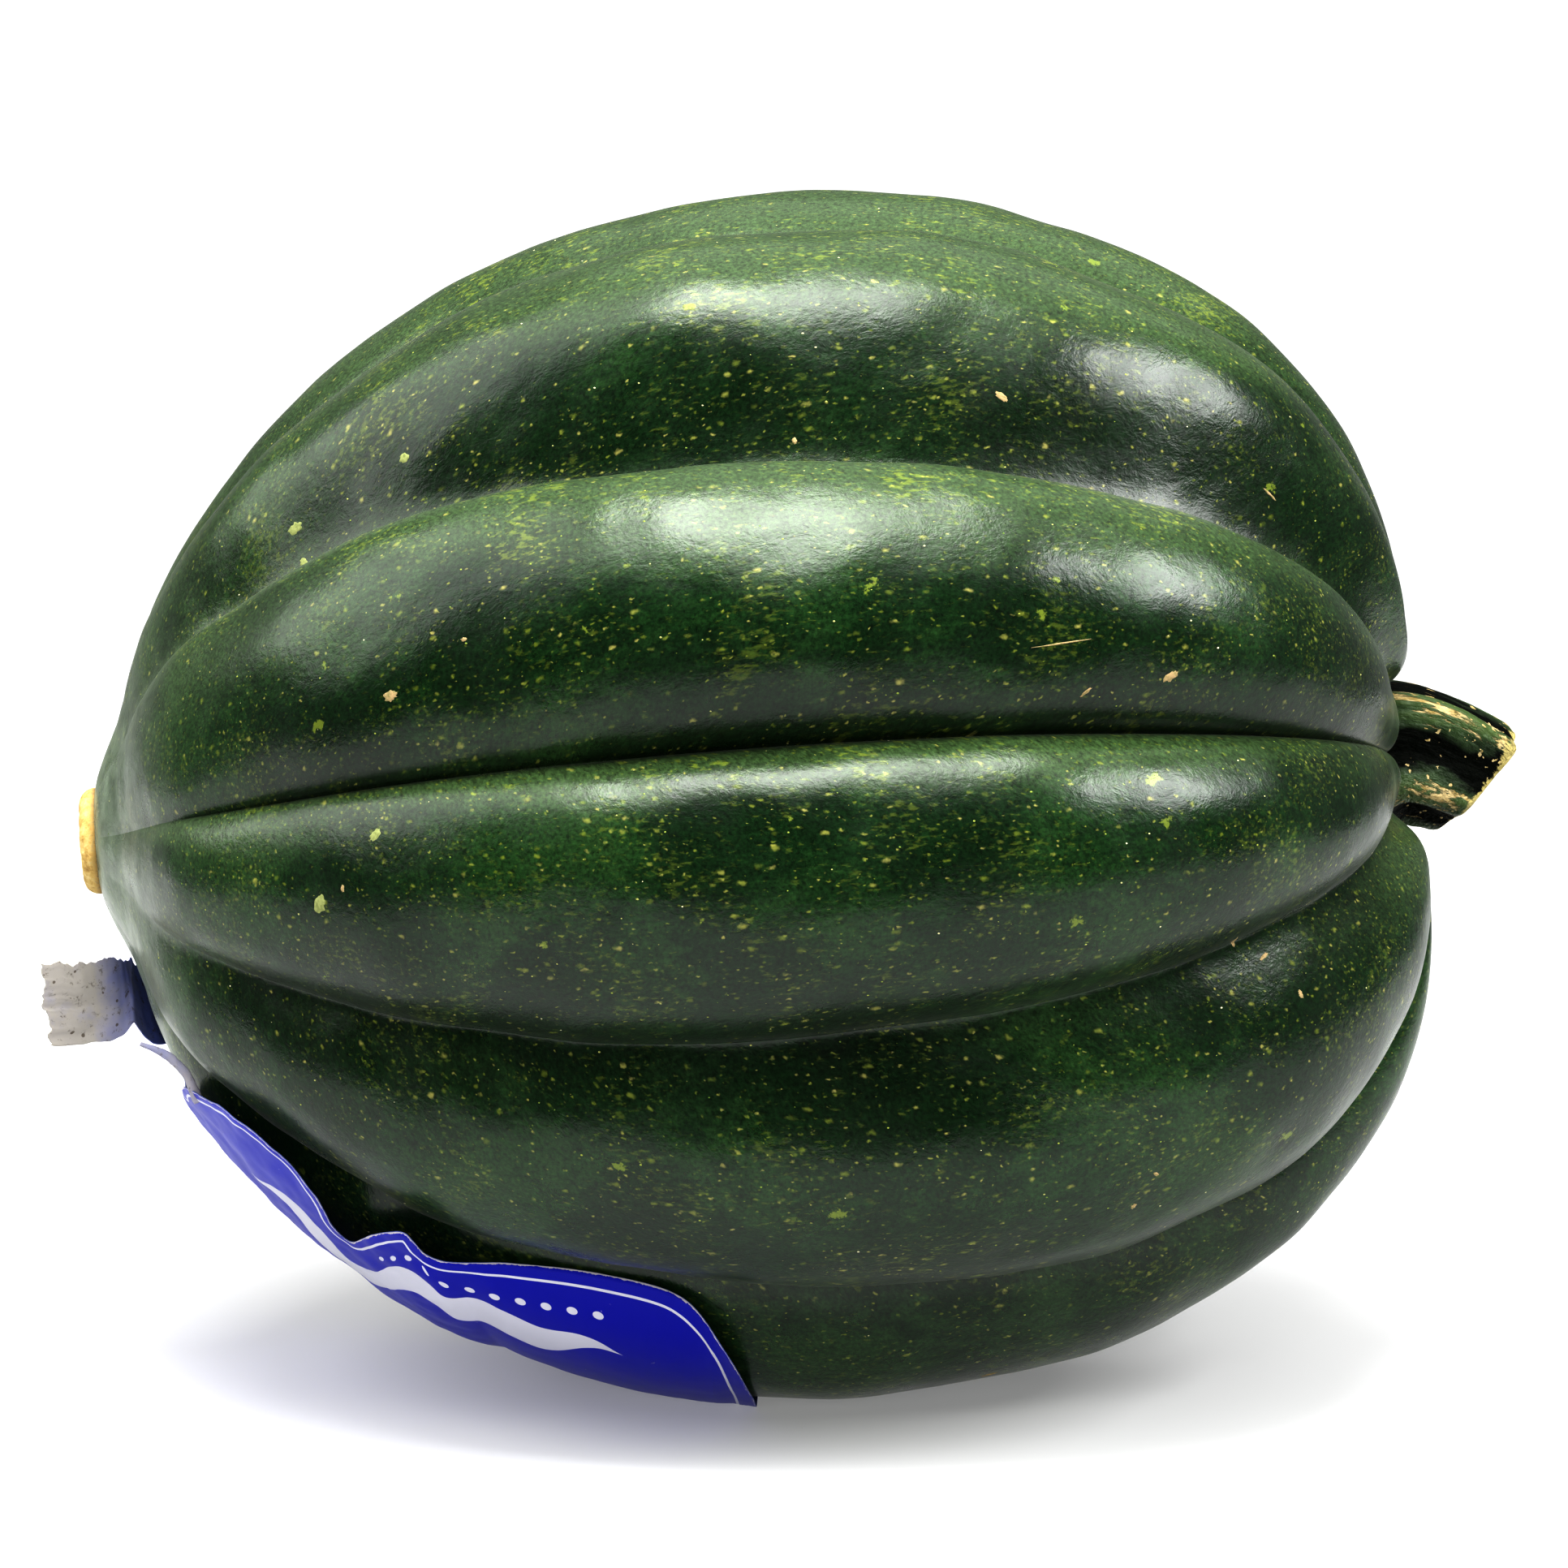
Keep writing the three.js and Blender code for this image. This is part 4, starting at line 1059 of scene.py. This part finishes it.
    surface = add("ShaderNodeBsdfPrincipled", {"Base Color": dirty, "Roughness": 0.75})
    through = add("ShaderNodeBsdfTranslucent", [dirty])
    thin = add("ShaderNodeMixShader", [0.45, surface, through])
    add("ShaderNodeOutputMaterial", [thin])
    return printed, back


def paperMesh(name, inner, outer):
    # closed thin sheet between two grids of points, with its back and its cut edges in the second material
    columns, rows = inner.shape[:2]
    half = columns * rows
    faces = []
    kinds = []
    for i in range(columns - 1):
        for j in range(rows - 1):
            a = i * rows + j
            faces.append((a, a + rows, a + rows + 1, a + 1))
            kinds.append(1)
            faces.append((half + a, half + a + 1, half + a + rows + 1, half + a + rows))
            kinds.append(0)
    for i in range(columns - 1):
        for a, b in (((i + 1) * rows, i * rows), (i * rows + rows - 1, (i + 1) * rows + rows - 1)):
            faces.append((a, b, half + b, half + a))
            kinds.append(1)
    for j in range(rows - 1):
        for a, b in ((j, j + 1), (half - rows + j + 1, half - rows + j)):
            faces.append((a, b, half + b, half + a))
            kinds.append(1)
    mesh = bpy.data.meshes.new(name)
    mesh.from_pydata(np.concatenate([inner.reshape(-1, 3), outer.reshape(-1, 3)]).tolist(), [], faces)
    mesh.polygons.foreach_set("material_index", kinds)
    mesh.polygons.foreach_set("use_smooth", [True] * len(faces))
    mesh.update()
    return mesh


def buildLabel():
    columns, rows = label["columns"], label["rows"]
    shape, points = labelSheet()
    normals = sheetNormals(points)
    inset = np.full((columns, rows), 1.0)
    edge = points[int(columns * label["lineFrom"]):, 0]
    for j in range(rows):
        inset[:, j] = np.linalg.norm(points[:, j][:, None] - edge[None], axis=2).min(axis=1)
    steps = np.linalg.norm(np.diff(points[:, rows // 3], axis=0), axis=1)
    lengthways = np.concatenate([[0], np.cumsum(steps)])
    widths = np.linalg.norm(np.diff(points, axis=1), axis=2)
    crossways = np.concatenate([np.zeros((columns, 1)), np.cumsum(widths, axis=1)], axis=1)
    along = np.linspace(0, 1, columns)
    # worn ink towards the left end, partly painted sheen there, and more again on the flap's root, which is
    # painted light over its shade
    wearAndPaintedLight = np.clip((0.62 - along) / 0.2, 0, 1) + np.clip((0.24 - along) / 0.06, 0, 1.2)
    blueCast = np.clip((along - 0.06) / 0.1, 0, 1)
    buckled = np.array([[
        roughen(points[i, j] / mm, label["buckleSize"]) for j in range(rows)] for i in range(columns)])
    freedom = np.clip(shape[..., 2] / 1.6, 0.15, 1)
    points = points + normals * (buckled * freedom * label["buckleHeight"] * mm)[..., None]
    inner = points.copy()
    outer = points + normals * label["thickness"] * mm
    inner[..., 2] = np.maximum(inner[..., 2], 0.14 * mm)
    outer[..., 2] = np.maximum(outer[..., 2], 0.02 * mm)
    mesh = paperMesh("paperLabel", inner, outer)
    whole = [np.repeat(row, rows).reshape(columns, rows) for row in (lengthways, along, wearAndPaintedLight, blueCast)]
    place = np.stack([whole[0], crossways, whole[1]], axis=2).reshape(-1, 3)
    edges = np.stack([inset, whole[2], whole[3]], axis=2).reshape(-1, 3)
    addAttribute(mesh, "labelPlace", "FLOAT_VECTOR", np.concatenate([place, place]))
    addAttribute(mesh, "labelEdge", "FLOAT_VECTOR", np.concatenate([edges, edges]))
    for material in labelMaterials():
        mesh.materials.append(material)
    return linkObject("paperLabel", mesh), points[int(columns * label["stripAt"]), 0]


# a narrow strip that tore loose at the label's upper left corner and curls away from it
curl = {
    "path": [(0.6, 0.0, -1.2), (-1.0, 0.4, 2.0), (-2.9, 1.0, 3.6), (-5.6, 1.8, 4.6)],  # mm from that corner
    "width": [1.1, 1.0, 0.8, 0.4],
    "cup": 0.25,  # mm that its edges bend back
}


def buildCurl(corner):
    columns, rows = 60, 9
    spread = np.linspace(0, 1, columns)
    path = np.array([catmullRom([(*p, w) for p, w in zip(curl["path"], curl["width"])], t) for t in spread])
    ways = np.gradient(path[:, :3], axis=0)
    inner = np.empty((columns, rows, 3))
    for i in range(columns):
        side = np.array([-ways[i, 2], 0, ways[i, 0]])
        side /= np.linalg.norm(side)
        for j, across in enumerate(np.linspace(-0.5, 0.5, rows)):
            torn = 1 + 0.2 * roughen((spread[i] * 9, across * 3, 5), 1.1)
            bend = np.array([0, curl["cup"] * 4 * across * across, 0])
            inner[i, j] = corner + (path[i, :3] + side * across * path[i, 3] * torn + bend) * mm
    outer = inner + np.array([0, -label["thickness"] * mm, 0])
    mesh = paperMesh("paperCurl", inner, outer)
    flat = np.stack(np.meshgrid(spread * 8 * mm, np.linspace(0, 1, rows) * mm, indexing="ij") + [
        np.zeros((columns, rows))], axis=2).reshape(-1, 3)
    edges = np.tile((0, 0, 0.35), (columns * rows, 1))
    addAttribute(mesh, "labelPlace", "FLOAT_VECTOR", np.concatenate([flat, flat]))
    addAttribute(mesh, "labelEdge", "FLOAT_VECTOR", np.concatenate([edges, edges]))
    back = labelPiece.data.materials[1]
    mesh.materials.append(back)
    mesh.materials.append(back)
    return linkObject("paperCurl", mesh)


labelPiece, labelCorner = buildLabel()
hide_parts("label")
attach(labelPiece, "root")
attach(buildCurl(labelCorner), "root")
print("label:", len(labelPiece.data.polygons), "faces")


# Marks on the rind: tiny pale breathing pores, and larger patches of cork over old scratches

pores = {
    "density": 18000,  # in a square metre
    "smallest": 0.05,  # mm
    "largest": 0.12,
    "seed": 11,
    "tones": [(0.0, "#5d7a2c"), (0.45, "#97a046"), (0.8, "#a2a268"), (1.0, "#d9d2b0")],
}

marks = {
    "pale": "#8f9560",
    "tan": "#a8926c",
    "dark": "#59652f",
    "lift": (0.05, 0.06, 0.05, 0.02, -0.06),  # mm above the rind, from the middle out
    "patches": [  # along and angle on the fruit, length and width in mm, turn in degrees, pale or tan
        (-52.5, 0.5, 2.6, 1.8, 60, 0), (-49.3, 2.6, 0.9, 0.6, 80, 1), (-54.7, 57.6, 2.2, 1.4, 20, 0),
        (-54, 52, 1.8, 1.1, 110, 0), (-39.8, 57.2, 1.5, 1.2, 0, 0), (-19.1, 88.6, 3.4, 1.6, 15, 0),
        (-5.8, 62, 1.7, 1.1, 0, 0), (-44.9, 8.8, 1.8, 1.2, 30, 0), (45.2, 20.7, 2.2, 1.0, 20, 1),
        (28.2, 53.4, 1.9, 0.9, 140, 1), (-41.9, 24.2, 2.1, 1.3, 10, 1), (-32.7, 28.5, 0.8, 0.5, 0, 1),
        (4.9, 49.3, 0.9, 0.6, 100, 1), (37.1, -37.5, 1.0, 0.7, 60, 1), (39.9, -34.1, 1.0, 0.5, 130, 1),
        (59.9, -21.7, 1.2, 0.7, 120, 1), (35.3, 19, 1.8, 0.4, 30, 1), (52.2, -12.9, 3.2, 0.5, 65, 1),
        (55.9, -16, 1.6, 0.5, 40, 1), (60.7, 52.3, 2.4, 0.35, 140, 1), (33, 23.6, 7.5, 0.22, 4, 1),
        (20, -70, 2.2, 1.2, 30, 1), (-20, 140, 2.4, 1.4, 70, 0), (25, 170, 1.8, 1.2, 10, 1),
        (-35, 200, 2.0, 1.1, 40, 0), (10, 215, 2.6, 0.6, 160, 1),
    ],
}


def poreTree(material):
    tree, given = newTree("scatteredPores", [
        ("Density", "NodeSocketFloat"), ("Seed", "NodeSocketInt"),
        ("Smallest", "NodeSocketFloat"), ("Largest", "NodeSocketFloat")])
    add = partial(addNode, tree)
    scatter = add("GeometryNodeDistributePointsOnFaces", {
        "Mesh": given["Geometry"], "Density": given["Density"], "Seed": given["Seed"]},
        distribute_method="RANDOM")
    size = add("FunctionNodeRandomValue", {
        2: given["Smallest"], 3: given["Largest"], "Seed": given["Seed"]}, data_type="FLOAT")
    flat = add(vectorNode, {0: (1.15, 0.85, 0.22), "Scale": size.outputs[1]}, operation="SCALE")
    bead = add("GeometryNodeMeshIcoSphere", {"Radius": 1.0, "Subdivisions": 2})
    placed = add("GeometryNodeInstanceOnPoints", {
        "Points": scatter.outputs["Points"], "Instance": bead, "Rotation": scatter.outputs["Rotation"],
        "Scale": flat})
    tone = add("FunctionNodeRandomValue", {"Seed": 5}, data_type="FLOAT")
    toned = add("GeometryNodeStoreNamedAttribute", {
        "Geometry": placed, "Name": "tone", "Value": tone.outputs[1]}, data_type="FLOAT",
        domain="INSTANCE")
    real = add("GeometryNodeRealizeInstances", [toned])
    smooth = add("GeometryNodeSetShadeSmooth", [real])
    painted = add("GeometryNodeSetMaterial", {"Geometry": smooth, "Material": material})
    add("NodeGroupOutput", [painted])
    return tree


def poreMaterial():
    # breathing pores of the rind, closed with pale cork
    material, tree = newMaterial("paleCork")
    add = partial(addNode, tree)
    tone = add(storedNode, attribute_name="tone").outputs["Fac"]
    colour = addRamp(tree, tone, pores["tones"])
    surface = add("ShaderNodeBsdfPrincipled", {"Base Color": colour, "Roughness": 0.6})
    add("ShaderNodeOutputMaterial", [surface])
    return material


def buildPores():
    piece = runTree("rindPores", poreTree(poreMaterial()), rind.data.copy(), {
        "Density": float(pores["density"]), "Seed": pores["seed"],
        "Smallest": pores["smallest"] * mm, "Largest": pores["largest"] * mm})
    points = meshPoints(piece.data)
    points[:, 2] = np.maximum(points[:, 2], 0.15 * mm)
    setMeshPoints(piece.data, points)
    return piece


def patchMaterial():
    # healed scratches: dry cork in pale green or tan, ragged and a little raised
    material, tree = newMaterial("healedScratch")
    add = partial(addNode, tree)
    place = add("ShaderNodeTexCoord").outputs["Object"]
    tone = add(storedNode, attribute_name="tone").outputs["Fac"]
    grain = add(noiseNode, {"Vector": place, "Scale": 1 / (0.35 * mm), "Detail": 3.0})
    ends = add(blendNode, [tone, toLinear(marks["pale"]), toLinear(marks["tan"])])
    dark = add(rangeNode, {
        "Value": grain, "From Min": 0.3, "From Max": 0.6, "To Min": 0.55, "To Max": 0.0})
    colour = add(blendNode, [dark, ends, toLinear(marks["dark"])])
    surface = add("ShaderNodeBsdfPrincipled", {"Base Color": colour, "Roughness": 0.75})
    add("ShaderNodeOutputMaterial", [surface])
    return material


def buildPatches():
    # ragged thin islands laid on the rind, which they follow
    skin = BVHTree.FromPolygons(
        [v.co.copy() for v in rind.data.vertices], [p.vertices[:] for p in rind.data.polygons])
    vertices = []
    faces = []
    tones = []
    spokes, rings = 22, 4
    for number, (along, angle, length, width, turn, tone) in enumerate(marks["patches"]):
        axis = fruitOrigin + placeInFruit(along * 0.75, 0, 0) * mm
        outside = fruitOrigin + placeRound(along, angle, 90) * mm
        hit, normal, _, _ = skin.ray_cast(outside, (axis - outside).normalized())
        lengthways = placeInFruit(1, 0, 0)
        lengthways = (lengthways - normal * lengthways.dot(normal)).normalized()
        sideways = normal.cross(lengthways)
        start = len(vertices)
        for ring in range(rings + 1):
            for spoke in range(spokes):
                around = 2 * math.pi * spoke / spokes
                ragged = 1 + 0.42 * roughen((math.cos(around) * 3, math.sin(around) * 3, number * 7), 1.4)
                reach = ring / rings * ragged * mm / 2
                x, y = math.cos(around) * length * reach, math.sin(around) * width * reach
                cosine, sine = math.cos(turn * degree), math.sin(turn * degree)
                point = hit + lengthways * (x * cosine - y * sine) + sideways * (x * sine + y * cosine)
                near, away, _, _ = skin.find_nearest(point)
                lift = marks["lift"][ring] + 0.02 * roughen((x * 4000, y * 4000, number), 1)
                vertices.append(near + away * lift * mm)
                tones.append(tone)
        for ring in range(rings):
            for spoke in range(spokes):
                a = start + ring * spokes + spoke
                b = start + ring * spokes + (spoke + 1) % spokes
                faces.append((a, a + spokes, b + spokes, b))
    mesh = bpy.data.meshes.new("healedScratches")
    mesh.from_pydata([v[:] for v in vertices], [], faces)
    addAttribute(mesh, "tone", "FLOAT", tones)
    mesh.materials.append(patchMaterial())
    mesh.polygons.foreach_set("use_smooth", [True] * len(faces))
    mesh.update()
    return linkObject("healedScratches", mesh)


for extra in (buildPores(), buildPatches()):
    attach(extra, "root")
    print(extra.name + ":", len(extra.data.polygons), "faces")


# Camera, floor and lights

studio = {
    "cameraDistance": 0.95,
    "cameraElevation": 10,
    "photoPixel": 0.0858,  # mm that one pixel of the 1932 pixel photo spans at the fruit
    "photoSize": 1932,
    "fruitPixel": (958, 984),  # where the middle of the fruit's axis lies in it
    "floorColour": "#b0b0b0",
    "floorGlow": 0.29,  # it is a lit table, which keeps the shadow light
    "contrast": 1.42,
    "seen": 1.15,  # strength of the white surround to the camera
    "behind": 0.25,  # and as light, behind the fruit
    "front": 0.015,
    "floor": (-0.3, 0.35, -0.3, 0.42),  # it ends behind the fruit, where the white surround goes on
}


def buildCamera():
    elevation = studio["cameraElevation"] * degree
    away = Vector((0, -math.cos(elevation), math.sin(elevation)))
    up = Vector((0, math.sin(elevation), math.cos(elevation)))
    middle = studio["photoSize"] / 2
    offsetX = (middle - studio["fruitPixel"][0]) * studio["photoPixel"] * mm
    offsetUp = (studio["fruitPixel"][1] - middle) * studio["photoPixel"] * mm
    target = fruitOrigin + Vector((offsetX, 0, 0)) + up * offsetUp
    data = bpy.data.cameras.new("photoCamera")
    data.sensor_fit = "HORIZONTAL"
    data.angle = 2 * math.atan(middle * studio["photoPixel"] * mm / studio["cameraDistance"])
    camera = linkObject("photoCamera", data)
    camera.location = target + away * studio["cameraDistance"]
    camera.rotation_euler = (-away).to_track_quat("-Z", "Y").to_euler()
    bpy.context.scene.camera = camera


def buildFloor():
    mesh = bpy.data.meshes.new("studioFloor")
    left, right, front, back = studio["floor"]
    corners = [(left, front, 0), (right, front, 0), (right, back, 0), (left, back, 0)]
    mesh.from_pydata(corners, [], [(0, 1, 2, 3)])
    floor = linkObject("studioFloor", mesh)
    material, tree = newMaterial("paleStudioFloor")
    surface = addNode(tree, "ShaderNodeBsdfPrincipled", {
        "Base Color": toLinear(studio["floorColour"]), "Roughness": 0.9, "Specular IOR Level": 0.1,
        "Emission Color": (1, 1, 1, 1), "Emission Strength": studio["floorGlow"]})
    addNode(tree, "ShaderNodeOutputMaterial", [surface])
    mesh.materials.append(material)


softboxes = [  # name, where it stands and what it faces in m, its two sides in m, watts, mirrored in the rind
    ("overheadStrip", (-0.06, -0.14, 0.92), (0.0, 0.0, 0.06), (0.54, 0.4), 12.5, True),
    ("overheadBack", (0.1, 0.5, 0.95), (0.05, 0.0, 0.06), (0.95, 0.95), 3.5, True),
    ("rightSoftbox", (0.77, -0.25, 0.75), (0.05, 0.0, 0.06), (0.48, 0.48), 14.5, True),
    ("leftSoftbox", (-0.8, 0.05, 0.74), (-0.05, 0.0, 0.06), (0.9, 0.8), 10.5, True),
    ("frontFill", (0.0, -0.8, 1.25), (0.0, 0.0, 0.03), (2.0, 0.9), 22, False),
    ("lowFill", (0.0, -1.6, 0.42), (0.0, 0.0, 0.0), (2.2, 0.5), 16, False),
]


def buildLights():
    for name, place, target, (width, height), power, mirrored in softboxes:
        data = bpy.data.lights.new(name, "AREA")
        data.shape = "RECTANGLE"
        data.size = width
        data.size_y = height
        data.energy = power
        lamp = linkObject(name, data)
        lamp.visible_glossy = mirrored
        lamp.location = place
        lamp.rotation_euler = (Vector(target) - Vector(place)).to_track_quat("-Z", "Y").to_euler()
    world = bpy.data.worlds.new("whiteStudio")
    world.use_nodes = True
    tree = world.node_tree
    tree.nodes.clear()
    # white all round to the camera; as light it is bright behind and at the sides, and dark in front
    seen = addNode(tree, "ShaderNodeLightPath").outputs["Is Camera Ray"]
    direction = addNode(tree, "ShaderNodeTexCoord").outputs["Generated"]
    parts = addNode(tree, "ShaderNodeSeparateXYZ", [direction])
    behind = addNode(tree, rangeNode, {
        "Value": parts.outputs[1], "From Min": -0.55, "From Max": 0.35, "To Min": studio["front"],
        "To Max": studio["behind"]}, interpolation_type="SMOOTHSTEP")
    strength = addNode(tree, "ShaderNodeMix", {0: seen, 2: behind, 3: studio["seen"]})
    glow = addNode(tree, "ShaderNodeBackground", [(1, 1, 1, 1), strength])
    addNode(tree, "ShaderNodeOutputWorld", [glow])
    bpy.context.scene.world = world
    bpy.context.scene.view_settings.view_transform = "Standard"
    bpy.context.scene.view_settings.gamma = 1 / studio["contrast"]


buildCamera()
buildFloor()
buildLights()
print("studio ready")
